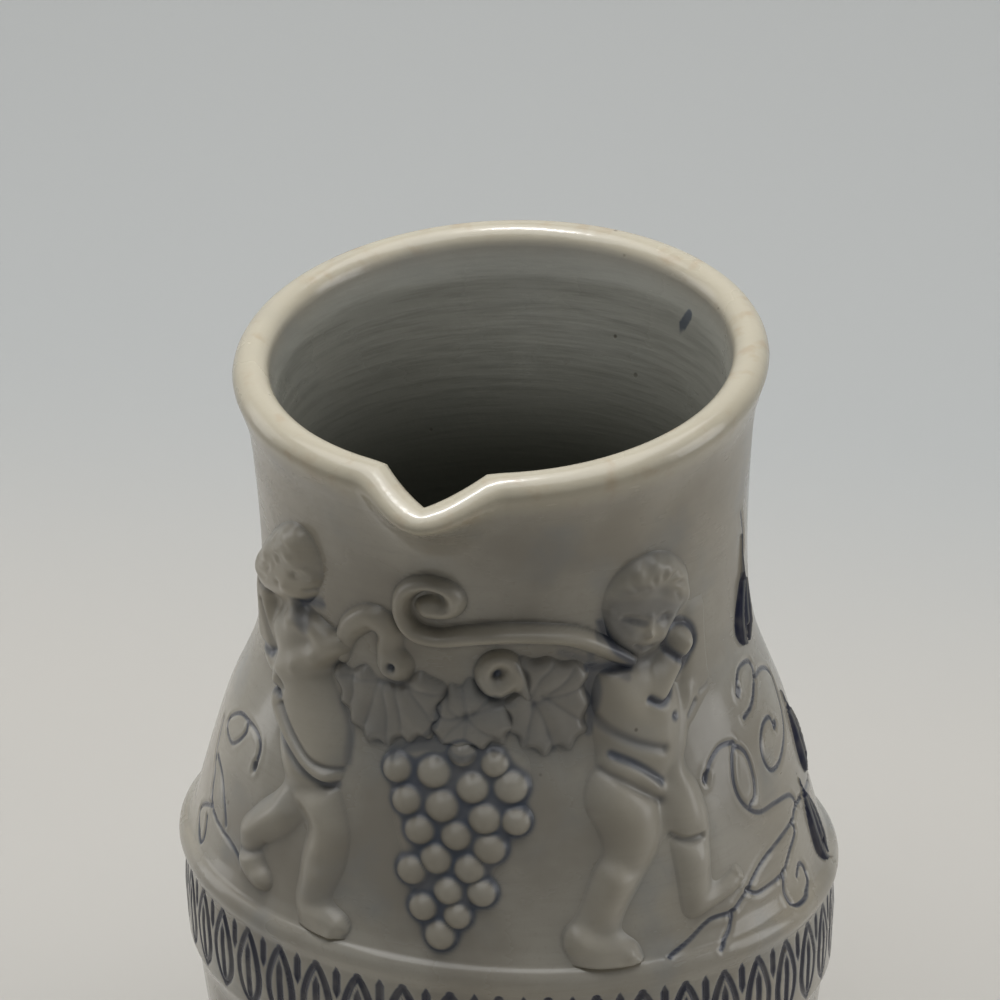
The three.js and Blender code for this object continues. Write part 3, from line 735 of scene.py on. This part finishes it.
def side_leaf(chart, place, width, length, turn, blade_share):
    """A leaf that hangs from a stem and is cleft at its broad end, with pale veins that run along it."""
    sprig = Sprig(chart)
    degrees, height = chart.places[..., 0], chart.places[..., 1]
    x = np.radians(degrees - place[0]) * wall_radius(height)
    across, up = turned(x, height - place[1], turn)
    share = np.clip(up / length + 0.5, 0, 1)
    blade = np.clip(share / blade_share, 0, 1)
    half = 0.5 * width * np.sin(math.pi * blade**0.6) ** 0.9 + STEM_HALF_WIDTH
    aside = np.abs(across) / half
    cleft = smoothstep(0.42, 0.12, blade) * smoothstep(0.34, 0, aside)
    edge = aside + np.maximum(np.abs(up) - length / 2, 0) + 1.3 * cleft
    rise = LEAF_RISE * (0.3 + 0.7 * smoothstep(1, 0.55, share) * smoothstep(0, 0.2, share))
    sprig.join(dome(edge, rise, 3), 0.1, ...)
    vein = np.minimum(np.abs(across), np.abs(np.abs(across) - 0.5 * half))
    pale = bell(vein, VEIN_WIDTH) * (blade < 0.9)
    sprig.height += 0.2 * pale - 0.3 * bell(edge - 0.92, 0.1)
    sprig.cobalt = (1 - 0.75 * pale) * smoothstep(1.04, 0.93, edge)
    return sprig


# Scrolls scratched into the wall beside the figures and filled with cobalt

# The lines at the right-hand side come first, and then those at the left-hand side
SCROLLS = [
    [670,958, 690,940, 710,920, 732,911, 745,893, 760,865, 775,845, 792,820, 797,803, 808,780],
    [732,912, 729,930, 721,950],
    [743.5,548, 743,531, 741,512],
    [747,890, 757,893, 770,885, 783,872, 790,850, 795,832, 792,822],
    [783,872, 784,890, 790,903, 798,905, 806,895, 808,880, 804,867, 799,864, 797,876],
    [797,805, 790,795, 775,803, 760,812, 748,808, 738,795, 733,775, 733,748, 745,752, 753,775, 755,795,
        750,805],
    [733,742, 720,747, 710,762, 705,780],
    [754,677, 762,668, 770,672, 778,695, 784,725, 783,748, 778,765, 771,770, 764,760, 761,743, 763,725,
        769,717, 774,726],
    [737,693, 737,680, 740,667, 748,661, 753,669, 754,690, 751,706, 744,718],
    [224,717, 217,750, 215,770, 212,796, 215,816, 225,834, 234,848, 241,862],
    [248,720, 246,732, 238,741, 231,742, 227,728, 230,717, 240,713, 248,720, 257,732, 260,746, 257,761,
        254,770],
    [218,755, 222,775, 224,801, 226,825],
    [213,806, 206,804, 201,807, 199,819, 199,833, 201,842, 205,832, 207,816],
]
SCROLL_ENDS = [(705, 781), (738, 695), (774, 727), (254, 769)]
SCROLL_END_THICKER = 0.12
SCROLL_WIDTH = 0.36
SCROLL_DEPTH = 0.2
SCROLL_EDGE = 0.06
SCROLL_REACH = 4
SCROLL_INK = 0.92


def scroll_lines():
    """Each scratched line as places, with how much thicker than the others it is."""
    lines = [(smooth_line(pixels, 3 * len(pixels)), 0) for pixels in SCROLLS]
    ends = [smooth_line((x, y, x + 1, y - 5), 2) for x, y in SCROLL_ENDS]
    return lines + [(end, SCROLL_END_THICKER) for end in ends]


# Meshes


def add_object(name, data):
    thing = bpy.data.objects.new(name, data)
    bpy.context.scene.collection.objects.link(thing)
    return thing


def smooth_mesh(name, points, faces, material):
    """A smooth-shaded mesh from points in metres."""
    mesh = bpy.data.meshes.new(name)
    mesh.from_pydata(points.tolist(), [], faces)
    mesh.validate()
    mesh.shade_smooth()
    mesh.materials.append(material)
    return mesh


def mesh_piece(name, points, faces, attributes, material):
    """A piece from points in mm that rides on the root body, in place of the CAD node of its name."""
    mesh = smooth_mesh(name, points * MM, faces, material)
    for key, values in attributes.items():
        layer = mesh.attributes.new(key, "FLOAT", "POINT")
        layer.data.foreach_set("value", values.astype(np.float32).ravel())
    piece = add_object(name, mesh)
    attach(piece, "root")
    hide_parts(name)


def grid_faces(rows, columns, closed):
    """Quads of a grid whose points run along the rows, with the last column joined to the first if closed."""
    index = np.arange(rows * columns).reshape(rows, columns)
    if closed:
        index = np.concatenate([index, index[:, :1]], 1)
    corners = [index[:-1, :-1], index[:-1, 1:], index[1:, 1:], index[1:, :-1]]
    return np.stack(corners, -1).reshape(-1, 4)


FILLET = 0.8
SEATING = 0.22
ROOT = 0.9
PROUD_AT = 3


def sprig_piece(name, sprig, wash_and_shade, material):
    """A closed mesh of the chart's cells where the sprig stands out, rooted a little inside the wall."""
    shape = sprig.chart.shape
    height = smooth_max(sprig.height, np.full(shape, -SEATING), FILLET)
    kept = sprig.height > -FILLET
    cells = kept[:-1, :-1] | kept[1:, :-1] | kept[:-1, 1:] | kept[1:, 1:]
    quads = grid_faces(*shape, False)[cells.ravel()]
    edges = np.concatenate([quads[:, [i, (i + 1) % 4]] for i in range(4)]).tolist()
    known = set(map(tuple, edges))
    rim = np.array([edge for edge in edges if (edge[1], edge[0]) not in known])
    used = np.unique(quads)
    count = len(used)
    number = np.full(height.size, -1)
    number[used] = np.arange(count)
    top, side = number[quads], number[rim]
    walls = np.stack([side[:, 1], side[:, 0], side[:, 0] + count, side[:, 1] + count], 1)
    faces = top.tolist() + (top[:, ::-1] + count).tolist() + walls.tolist()
    places = sprig.chart.places.reshape(-1, 2)[used]
    lifted = settle(on_wall(places, height.ravel()[used]))
    rooted = settle(on_wall(places, -ROOT))
    # How raised each point is; raised parts are painted paler, partly as a painted highlight
    twice = {"cobalt": sprig.cobalt, "wash_and_shade": wash_and_shade, "proud": np.clip(height / PROUD_AT, 0, 1)}
    attributes = {key: np.tile(values.ravel()[used], 2) for key, values in twice.items()}
    mesh_piece(name, np.concatenate([lifted, rooted]), faces, attributes, material)


def resampled(profile, spacing):
    """The profile with its points spaced as spacing(height) says."""
    lengths = np.linalg.norm(np.diff(profile, axis=0), axis=1)
    middle = (profile[1:, 1] + profile[:-1, 1]) / 2
    steps = np.concatenate([[0], np.cumsum(lengths / spacing(middle))])
    places = np.linspace(0, steps[-1], int(steps[-1]) + 2)
    return np.stack([np.interp(places, steps, profile[:, i]) for i in (0, 1)], 1)


def outside_spacing(height):
    carved = (height > BAND_BOTTOM - 1) & (height < NECK_HEIGHT)
    return np.where(carved, 0.36, np.where(height < BAND_BOTTOM, 0.9, 0.6))


def inside_spacing(height):
    return np.where(height > RIM_HEIGHT - 6, 0.6, 2.2)


# Ornament of the band: upright leaves with a dart between each two

BAND_LEAVES = 44
BAND_PITCH = 360 / BAND_LEAVES
BAND_PITCH_MM = math.radians(BAND_PITCH) * BAND_RADIUS
BAND_LOW = BAND_BOTTOM + 1.3
BAND_HIGH = BEAD_HEIGHT - BEAD_HALF_WIDTH - 0.3
BAND_LEAF_HALF_WIDTH = 1.9
BAND_LINE_HALF_WIDTH = 0.26
BAND_RELIEF = 0.3


def band_ornament(places):
    """Height of the leaf frieze, and the distance in mm to its nearest painted line."""
    x = ((places[..., 0] / BAND_PITCH) % 1 - 0.5) * BAND_PITCH_MM
    share = (places[..., 1] - BAND_LOW) / (BAND_HIGH - BAND_LOW)
    clipped = np.clip(share, 0, 1)
    beyond = (BAND_HIGH - BAND_LOW) * np.abs(share - clipped)
    edge = np.abs(x) - BAND_LEAF_HALF_WIDTH * np.sin(math.pi * clipped**0.8) ** 0.75
    vein = np.abs(x) + 4 * np.maximum(np.abs(share - 0.42) - 0.3, 0)
    dart = BAND_PITCH_MM / 2 - np.abs(x) + 5 * np.maximum(np.abs(share - 0.84) - 0.12, 0)
    gap = np.minimum(np.hypot(edge, beyond), np.minimum(vein, dart))
    leaf = smoothstep(0.2, -0.5, np.maximum(edge, beyond))
    return BAND_RELIEF * (leaf - bell(gap, 0.32)), gap - BAND_LINE_HALF_WIDTH


# How far below the rim the glaze starts to turn tan, and how far below it is all tan
TAN_OUTSIDE = (5.5, 1.5)
TAN_INSIDE = (2.2, 0.6)
# The painted dash inside the neck
DASH = [(140.2, 99.6), (136.8, 101.9)]
DASH_HALF_WIDTH = 0.35
DASH_INK = 0.75
# Depth below the rim that the inside's share runs over; the painted shade inside darkens along it
SIGHT_DEPTH = 34
LINE_REACH = 2


def body_piece(material):
    outside = resampled(np.concatenate([[(FOOT_RADIUS - FOOT_BEVEL, 0)], OUTER]), outside_spacing)
    profile = np.concatenate([outside, resampled(inner_profile(), inside_spacing)])
    around = np.concatenate([
        np.linspace(*FRONT_DEG, FRONT_COLUMNS, endpoint=False),
        np.linspace(FRONT_DEG[1], FRONT_DEG[0] + 360, BACK_COLUMNS, endpoint=False),
    ])
    around = (around + 180) % 360 - 180
    rows, columns = len(profile), len(around)
    places = np.stack(np.broadcast_arrays(around[None, :], profile[:, 1:]), -1)
    height = places[..., 1]
    is_outer = np.arange(rows)[:, None] < len(outside)
    carving, line_gap = band_ornament(places)
    for line, thicker in scroll_lines():
        low, high = line.min(0) - SCROLL_REACH, line.max(0) + SCROLL_REACH
        near = (places > low).all(-1) & (places < high).all(-1) & is_outer
        gap = along_line(on_wall(places[near]), on_wall(line))[0] - thicker
        edges = SCROLL_EDGE * bell(gap - 2 * SCROLL_WIDTH, SCROLL_WIDTH)
        carving[near] += edges - SCROLL_DEPTH * bell(gap, SCROLL_WIDTH)
        line_gap[near] = np.minimum(line_gap[near], gap)
    radius = profile[:, :1] + is_outer * carving
    points = pinch(settle(round_pot(places[..., 0], radius, height)), height)
    dash_gap = along_line(on_wall(places, -WALL), on_wall(DASH, -WALL))[0] - DASH_HALF_WIDTH
    depth = RIM_HEIGHT - height
    attributes = {
        "line": np.clip(1 - np.where(is_outer, line_gap, dash_gap) / LINE_REACH, 0, 1),
        "ink": np.where(is_outer, np.where(height > BEAD_HEIGHT, SCROLL_INK, 1), DASH_INK),
        "cobalt": is_outer * front.sample(painted, places),
        "wash_and_shade": is_outer * front.sample(wash_and_shade_in_hollows, places),
        "tan": np.where(is_outer, smoothstep(*TAN_OUTSIDE, depth), smoothstep(*TAN_INSIDE, depth)),
        # How far down inside: sets the inside's colour, its painted shade, its throwing streaks and roughness
        "inside": ~is_outer * np.clip(depth / SIGHT_DEPTH, 0, 1),
    }
    attributes = {key: np.append(values.ravel(), [0, 0]) for key, values in attributes.items()}
    middle_of_base, middle_of_floor = [0, 0, 0], [0, 0, FLOOR]
    points = np.concatenate([points.reshape(-1, 3), [middle_of_base, middle_of_floor]])
    base, floor = rows * columns, rows * columns + 1
    foot = np.arange(columns)
    top = foot + (rows - 1) * columns
    faces = grid_faces(rows, columns, True)[:, ::-1].tolist()
    faces += [[base, i, j] for i, j in zip(foot, np.roll(foot, -1))]
    faces += [[floor, j, i] for i, j in zip(top, np.roll(top, -1))]
    mesh_piece("body", points, faces, attributes, material)


HANDLE_ROWS = 120
HANDLE_COLUMNS = 48
RIB_RISE = 0.35
RIB_PLACE = 0.72
RIB_WIDTH = 0.12
HANDLE_WAIST = 0.86


def squared_off(wave, power):
    return np.sign(wave) * np.abs(wave) ** power


def handle_piece(material):
    """A strap with a raised rib along each edge, from inside the neck's wall to inside the belly's wall."""
    belly = wall_radius(HANDLE_BOTTOM)
    reach_and_drop = [
        (NECK_RADIUS - WALL / 2, 0.07),
        (NECK_RADIUS + 0.2 * HANDLE_REACH, 0.014),
        (NECK_RADIUS + 0.68 * HANDLE_REACH, 0.04),
        (NECK_RADIUS + HANDLE_REACH, 0.3),
        (NECK_RADIUS + 0.88 * HANDLE_REACH, 0.62),
        (belly + HANDLE_ROOT, 0.96),
        (belly - WALL / 2, 1.03),
    ]
    path = spline([(y, lerp(HANDLE_TOP, HANDLE_BOTTOM, drop)) for y, drop in reach_and_drop], HANDLE_ROWS)
    along = np.gradient(path, axis=0)
    out = along[:, ::-1] * (-1, 1) / np.linalg.norm(along, axis=1)[:, None]
    turn = np.radians(np.linspace(0, 360, HANDLE_COLUMNS, endpoint=False))
    across, through = squared_off(np.cos(turn), 0.6), squared_off(np.sin(turn), 0.75)
    ribs = RIB_RISE * bell(np.abs(across) - RIB_PLACE, RIB_WIDTH) * (through > 0)
    rows = len(path)
    width = HANDLE_WIDTH / 2 * lerp(1, HANDLE_WAIST, np.sin(np.linspace(0, math.pi, rows)))
    lift = HANDLE_THICKNESS / 2 * through + ribs
    lengthwise = path[:, None, :] + out[:, None, :] * lift[:, None]
    points = np.concatenate([width[:, None, None] * across[:, None], lengthwise], -1)
    faces = grid_faces(rows, HANDLE_COLUMNS, True).tolist()
    first_end = list(range(HANDLE_COLUMNS))
    last_end = [i + (rows - 1) * HANDLE_COLUMNS for i in first_end[::-1]]
    # The ribs are painted paler in the same way, partly as a painted highlight
    proud = {"proud": np.tile(np.clip(ribs * 2, 0, 1), rows)}
    flat = settle(points).reshape(-1, 3)
    mesh_piece("handle", flat, [*faces, first_end, last_end], proud, material)


# Salt-glazed stoneware


def srgb(red, green, blue):
    """A colour written as 0 to 255 steps, as the linear values that a shader takes."""
    steps = (np.array([red, green, blue]) / 255).tolist()
    return [*(s / 12.92 if s <= 0.04045 else ((s + 0.055) / 1.055) ** 2.4 for s in steps), 1]


STONE = srgb(171, 166, 154)
STONE_DARK = srgb(146, 140, 128)
STONE_WARM = srgb(180, 169, 148)
# Raised parts: paler glaze, partly a painted highlight on their tops
RAISED_PALE_AND_HIGHLIGHT = srgb(186, 178, 160)
TAN = srgb(196, 188, 167)
TAN_DARK = srgb(176, 150, 116)
INSIDE = srgb(172, 172, 163)
# Painted shade deep inside the jug; also the colour of the throwing streaks inside
INSIDE_SHADE_AND_STREAKS = srgb(88, 89, 80)
BLUE_GREY = srgb(128, 136, 142)
# Blue-grey glaze pooled in the hollows, which also stands in for their shade
WASH_AND_SHADE = srgb(66, 71, 78)
COBALT = srgb(6, 15, 48)
COBALT_THIN = srgb(36, 57, 84)
SPECK = srgb(74, 64, 52)
FLOOR_COLOUR = srgb(200, 197, 191)
BACKDROP_COLOUR = srgb(188, 190, 189)
ROOM_LIGHT = srgb(200, 201, 202)
ROOM_SEEN = srgb(170, 172, 172)


class Nodes:
    """A short way to add and link the shader nodes of a new material or world."""

    def __init__(self, owner):
        owner.use_nodes = True
        self.tree = owner.node_tree

    def feed(self, node, links):
        """Links a node's inputs to sockets, or sets them to values."""
        for key, value in links.items():
            if isinstance(value, bpy.types.NodeSocket):
                self.tree.links.new(value, node.inputs[key])
            else:
                node.inputs[key].default_value = value

    def add(self, kind, links, **settings):
        node = self.tree.nodes.new("ShaderNode" + kind)
        for key, value in settings.items():
            setattr(node, key, value)
        self.feed(node, links)
        return node.outputs

    def attribute(self, name):
        return self.add("Attribute", {}, attribute_name=name)["Fac"]

    def noise(self, place, scale, detail, roughness=0.5):
        links = {"Vector": place, "Scale": scale, "Detail": detail, "Roughness": roughness}
        return self.add("TexNoise", links)["Fac"]

    def ramp(self, value, low, high, start=0, end=1):
        links = {"Value": value, "From Min": low, "From Max": high, "To Min": start, "To Max": end}
        return self.add("MapRange", links, interpolation_type="SMOOTHSTEP")["Result"]

    def math(self, operation, a, b):
        return self.add("Math", {0: a, 1: b}, operation=operation)[0]

    def times(self, a, b):
        return self.math("MULTIPLY", a, b)

    def plus(self, a, b):
        return self.math("ADD", a, b)

    def mix(self, share, a, b):
        return self.add("Mix", {"Factor": share, "A": a, "B": b}, data_type="RGBA")["Result"]


def salt_glaze(name, wash_and_shade_strength=1, proud_strength=0.5, dullness=0, coat=0.3, index=1.5):
    """Grey stoneware under a glossy salt glaze: mottled, faintly streaked and pitted, with painted cobalt,
    pooled glaze and painted shade in hollows, painted shade deep inside, and raised parts paler, partly as a
    painted highlight.
    """
    material = bpy.data.materials.new(name)
    n = Nodes(material)
    place = n.add("TexCoord", {})["Object"]
    flattened = n.add("Mapping", {"Vector": place, "Scale": (90, 90, 1300)})["Vector"]
    mottle = n.noise(place, 70, 4)
    cloud = n.noise(place, 22, 2)
    bluish = n.noise(place, 95, 4)
    grain = n.noise(place, 1900, 3)
    peel = n.noise(place, 700, 2)
    streaks = n.noise(flattened, 1, 3, 0.6)
    uneven = n.ramp(n.noise(place, 260, 2), 0.3, 0.6, 0.65, 1)
    inside, tan = n.attribute("inside"), n.attribute("tan")
    cells = n.add("TexVoronoi", {"Vector": place, "Scale": 210})
    pit = n.times(n.ramp(cells["Distance"], 0.085, 0.04), n.ramp(n.noise(place, 47, 1), 0.56, 0.62))
    rim_colour = n.mix(n.ramp(n.noise(place, 330, 3), 0.52, 0.75, 0, 0.4), TAN, TAN_DARK)
    drawn = n.times(n.ramp(n.attribute("line"), 0.78, 0.93), n.attribute("ink"))
    cobalt = n.math("MAXIMUM", n.attribute("cobalt"), drawn)
    blue = n.mix(n.ramp(cobalt, 0.7, 1), COBALT_THIN, COBALT)

    colour = STONE
    for share, layer in [
        (n.ramp(mottle, 0.35, 0.68), STONE_DARK),
        (n.ramp(cloud, 0.42, 0.7, 0, 0.5), STONE_WARM),
        (n.ramp(streaks, 0.45, 0.75, 0, 0.22), STONE_DARK),
        (n.ramp(grain, 0.55, 0.75, 0, 0.22), STONE_DARK),
        (n.ramp(bluish, 0.5, 0.72, 0, 0.32), BLUE_GREY),
        (n.ramp(inside, 0.02, 0.12, 0, 0.85), INSIDE),
        # Painted shade: the inside grows darker further down
        (n.ramp(inside, 0.16, 0.8), INSIDE_SHADE_AND_STREAKS),
        (n.times(n.ramp(streaks, 0.4, 0.7, 0, 0.25), n.ramp(inside, 0.05, 0.2)), INSIDE_SHADE_AND_STREAKS),
        # Raised parts paler: partly the glaze, partly a painted highlight
        (n.times(n.attribute("proud"), proud_strength), RAISED_PALE_AND_HIGHLIGHT),
        (n.times(tan, n.ramp(mottle, 0.2, 0.55, 0.7, 1)), rim_colour),
        # Pooled glaze in the relief's hollows, and painted shade there
        (n.times(n.times(n.attribute("wash_and_shade"), wash_and_shade_strength), uneven), WASH_AND_SHADE),
        (n.times(cobalt, n.ramp(uneven, 0.65, 1, 0.82, 0.97)), blue),
        (n.times(pit, 0.7), SPECK),
    ]:
        colour = n.mix(share, colour, layer)

    rough = n.plus(n.ramp(mottle, 0.3, 0.7, 0.18 + dullness, 0.29 + dullness), n.times(streaks, 0.06))
    throwing = n.times(streaks, n.ramp(inside, 0, 0.2, 0.1, 0.9))
    surface = n.plus(n.times(peel, n.plus(0.45, n.times(tan, 0.5))), n.plus(throwing, n.times(pit, -0.8)))
    surface = n.plus(surface, n.times(drawn, -0.4))
    n.feed(n.tree.nodes["Principled BSDF"], {
        "Base Color": colour,
        "Roughness": n.plus(rough, n.ramp(inside, 0.3, 1, 0, 0.35)),
        "Normal": n.add("Bump", {"Strength": 0.4, "Distance": 0.0001, "Height": surface})["Normal"],
        "IOR": index,
        "Coat Weight": coat,
        "Coat Roughness": 0.08,
    })
    return material


# The pieces

front = Chart(-84, 66, 44.6, 96)
# Hair: its outline and crown, and the arms, twist, ring and depth of its waves
right_hair = (RIGHT_HAIR, (652, 583), 9, 1.1, 2.4, 0.2)
left_hair = (LEFT_HAIR, (286, 544), 8, 1.2, 2.2, 0.16)
front_sprigs = {
    "grape_bunch": grape_bunch(),
    "left_putto": putto(LEFT_FORMS, LEFT_LIMBS, [], left_hair, LEFT_STROKES),
    "right_putto": putto(RIGHT_FORMS, RIGHT_LIMBS, RIGHT_FIST, right_hair, RIGHT_STROKES),
    "carrying_pole": carrying_pole(),
    "left_bud": curled_bud((396, 663), 2.4, 2.2, LEFT_BUD_HOOD),
    "right_bud": curled_tendril((497, 672), RIGHT_BUD_CURL),
}
front_sprigs |= {name: vine_leaf(*lines) for name, lines in VINE_LEAVES.items()}
# How strongly pooled glaze and painted shade lie round each sprig, and round each vine leaf
WASH_AND_SHADE_STRENGTHS = {"grape_bunch": 1, "left_putto": 0.5, "right_putto": 0.5, "carrying_pole": 0.5}
LEAF_WASH_AND_SHADE = 0.7


def wash_and_shade_map():
    """Where blue-grey glaze pools in the hollows of the relief, also standing in for their shade: more round
    some sprigs than others.
    """
    whole = np.maximum.reduce([np.zeros(front.shape), *(sprig.height for sprig in front_sprigs.values())])
    narrow = np.clip((blurred(whole, 2) - whole - 0.04) / 0.35, 0, 1)
    wide = np.clip((blurred(whole, 5) - whole) / 1.2, 0, 1)
    strength = np.zeros(front.shape)
    for name, sprig in front_sprigs.items():
        reached = blurred(np.clip(1 + sprig.height / 1.5, 0, 1), 3)
        strength = np.maximum(strength, WASH_AND_SHADE_STRENGTHS.get(name, LEAF_WASH_AND_SHADE) * smoothstep(0.05, 0.6, reached))
    return np.clip(narrow + 0.5 * wide, 0, 1) * strength


wash_and_shade_in_hollows = wash_and_shade_map()
painted = np.maximum.reduce([sprig.cobalt for sprig in front_sprigs.values()])

stoneware = salt_glaze("salt_glazed_stoneware")
relief = salt_glaze("salt_glazed_relief", 0.95, 0.55, 0.1, 0.18)
blue_relief = salt_glaze("cobalt_relief", 0.5, 0, 0.25, 0, 1.25)

body_piece(stoneware)
handle_piece(stoneware)
for name, sprig in front_sprigs.items():
    sprig.cobalt = painted
    sprig_piece(name, sprig, wash_and_shade_in_hollows, relief)

# Degrees round, height, width, length, turn, and the blade's share of the length
SIDE_LEAVES = {
    "upper": (88, 78.2, 7, 13, 0, 0.68),
    "middle": (100.5, 58.2, 5.4, 9.4, 5, 0.9),
    "lower": (93, 49.6, 5.8, 10.6, 12, 0.9),
}
LEAF_REACH_DEG = 18
LEAF_REACH = 0.6
for side, sign in (("right", 1), ("left", -1)):
    for name, (around, height, width, length, turn, blade) in SIDE_LEAVES.items():
        place = (sign * around, height)
        reach = LEAF_REACH * length
        chart = Chart(place[0] - LEAF_REACH_DEG, place[0] + LEAF_REACH_DEG, height - reach, height + reach)
        sprig = side_leaf(chart, place, width, length, sign * turn, blade)
        sprig_piece(f"{side}_{name}_leaf", sprig, np.zeros(chart.shape), blue_relief)


# Floor and backdrop, light and camera

# The stage in metres: the floor's front edge, where it bends up, the bend's radius, and the backdrop
# from the bend's end to its top
STAGE_FRONT = -1.2
STAGE_BENDS_AT = 0.21
STAGE_BEND = 0.16
STAGE_BEND_DEG = 84
STAGE_TOP = np.array([0.12, 1.1])
STAGE_HALF_WIDTH = 1.6
STAGE_ROUGHNESS = 0.8


def plain_stage():
    """A pale floor that curves up into a backdrop behind the jug, unseen from the backdrop's far side."""
    beside, behind = turned(*np.eye(2), CAMERA_ROUND)
    bend = rounded_edge((STAGE_BENDS_AT, STAGE_BEND), STAGE_BEND, -90, STAGE_BEND_DEG - 90, 24)
    line = [(STAGE_FRONT, 0), (0, 0), *bend, bend[-1] + STAGE_TOP]
    widths = np.linspace(-STAGE_HALF_WIDTH, STAGE_HALF_WIDTH, 9)
    points = np.array([[*(behind * far + beside * wide), up] for far, up in line for wide in widths])
    material = bpy.data.materials.new("pale_stage")
    n = Nodes(material)
    shader = n.tree.nodes["Principled BSDF"]
    away = n.add("SeparateXYZ", {"Vector": n.add("TexCoord", {})["Object"]})["Y"]
    colour = n.mix(n.ramp(away, 0.1, 0.24), FLOOR_COLOUR, BACKDROP_COLOUR)
    n.feed(shader, {"Base Color": colour, "Roughness": STAGE_ROUGHNESS})
    is_back, clear = n.add("NewGeometry", {})["Backfacing"], n.add("BsdfTransparent", {})[0]
    one_sided = n.add("MixShader", {0: is_back, 1: shader.outputs[0], 2: clear})[0]
    n.feed(n.tree.nodes["Material Output"], {"Surface": one_sided})
    faces = grid_faces(len(line), len(widths), False).tolist()
    add_object("stage", smooth_mesh("stage", points, faces, material))


# Place and size in metres, and watts. All lamps are turned to the middle of the jug.
LAMPS = {
    "overhead": ((-0.02, 0.05, 0.62), (0.7, 0.6), 2.55),
    "glint": ((-0.06, 0.08, 0.6), (0.14, 0.03), 0.9),
    "left_side": ((-0.62, 0.16, 0.24), (0.3, 0.5), 0.72),
    "right_side": ((0.66, 0.2, 0.24), (0.3, 0.5), 0.85),
}
LIT_POINT = Vector((0, 0, 0.07))
ROOM_STRENGTH = 0.155
CLIP_METRES = (0.01, 10)


def light():
    for name, (place, size, power) in LAMPS.items():
        lamp = bpy.data.lights.new(name, "AREA")
        lamp.shape = "RECTANGLE"
        lamp.size, lamp.size_y = size
        lamp.energy = power
        holder = add_object(name, lamp)
        holder.location = place
        holder.rotation_euler = (LIT_POINT - Vector(place)).to_track_quat("-Z", "Y").to_euler()
    world = bpy.data.worlds.new("soft_room")
    n = Nodes(world)
    dim = n.tree.nodes["Background"]
    n.feed(dim, {"Color": ROOM_LIGHT, "Strength": ROOM_STRENGTH})
    seen = n.add("Background", {"Color": ROOM_SEEN})[0]
    path = n.add("LightPath", {})
    either = path["Is Camera Ray"]
    for kind in ("Is Glossy Ray", "Is Transmission Ray"):
        either = n.math("MAXIMUM", either, path[kind])
    chosen = n.add("MixShader", {0: either, 1: dim.outputs[0], 2: seen})[0]
    n.feed(n.tree.nodes["World Output"], {"Surface": chosen})
    bpy.context.scene.world = world


def camera():
    right, up, forward = camera_axes()
    lens = bpy.data.cameras.new("camera")
    lens.sensor_width = SENSOR_MM
    lens.lens = SENSOR_MM * FOCAL_PIXELS / IMAGE_PIXELS
    lens.clip_start, lens.clip_end = CLIP_METRES
    holder = add_object("camera", lens)
    turned_to = Matrix([right, up, -forward]).transposed().to_4x4()
    holder.matrix_world = Matrix.Translation(Vector(CAMERA_PLACE * MM)) @ turned_to
    bpy.context.scene.camera = holder


plain_stage()
light()
camera()
bpy.context.scene.view_settings.view_transform = "Standard"
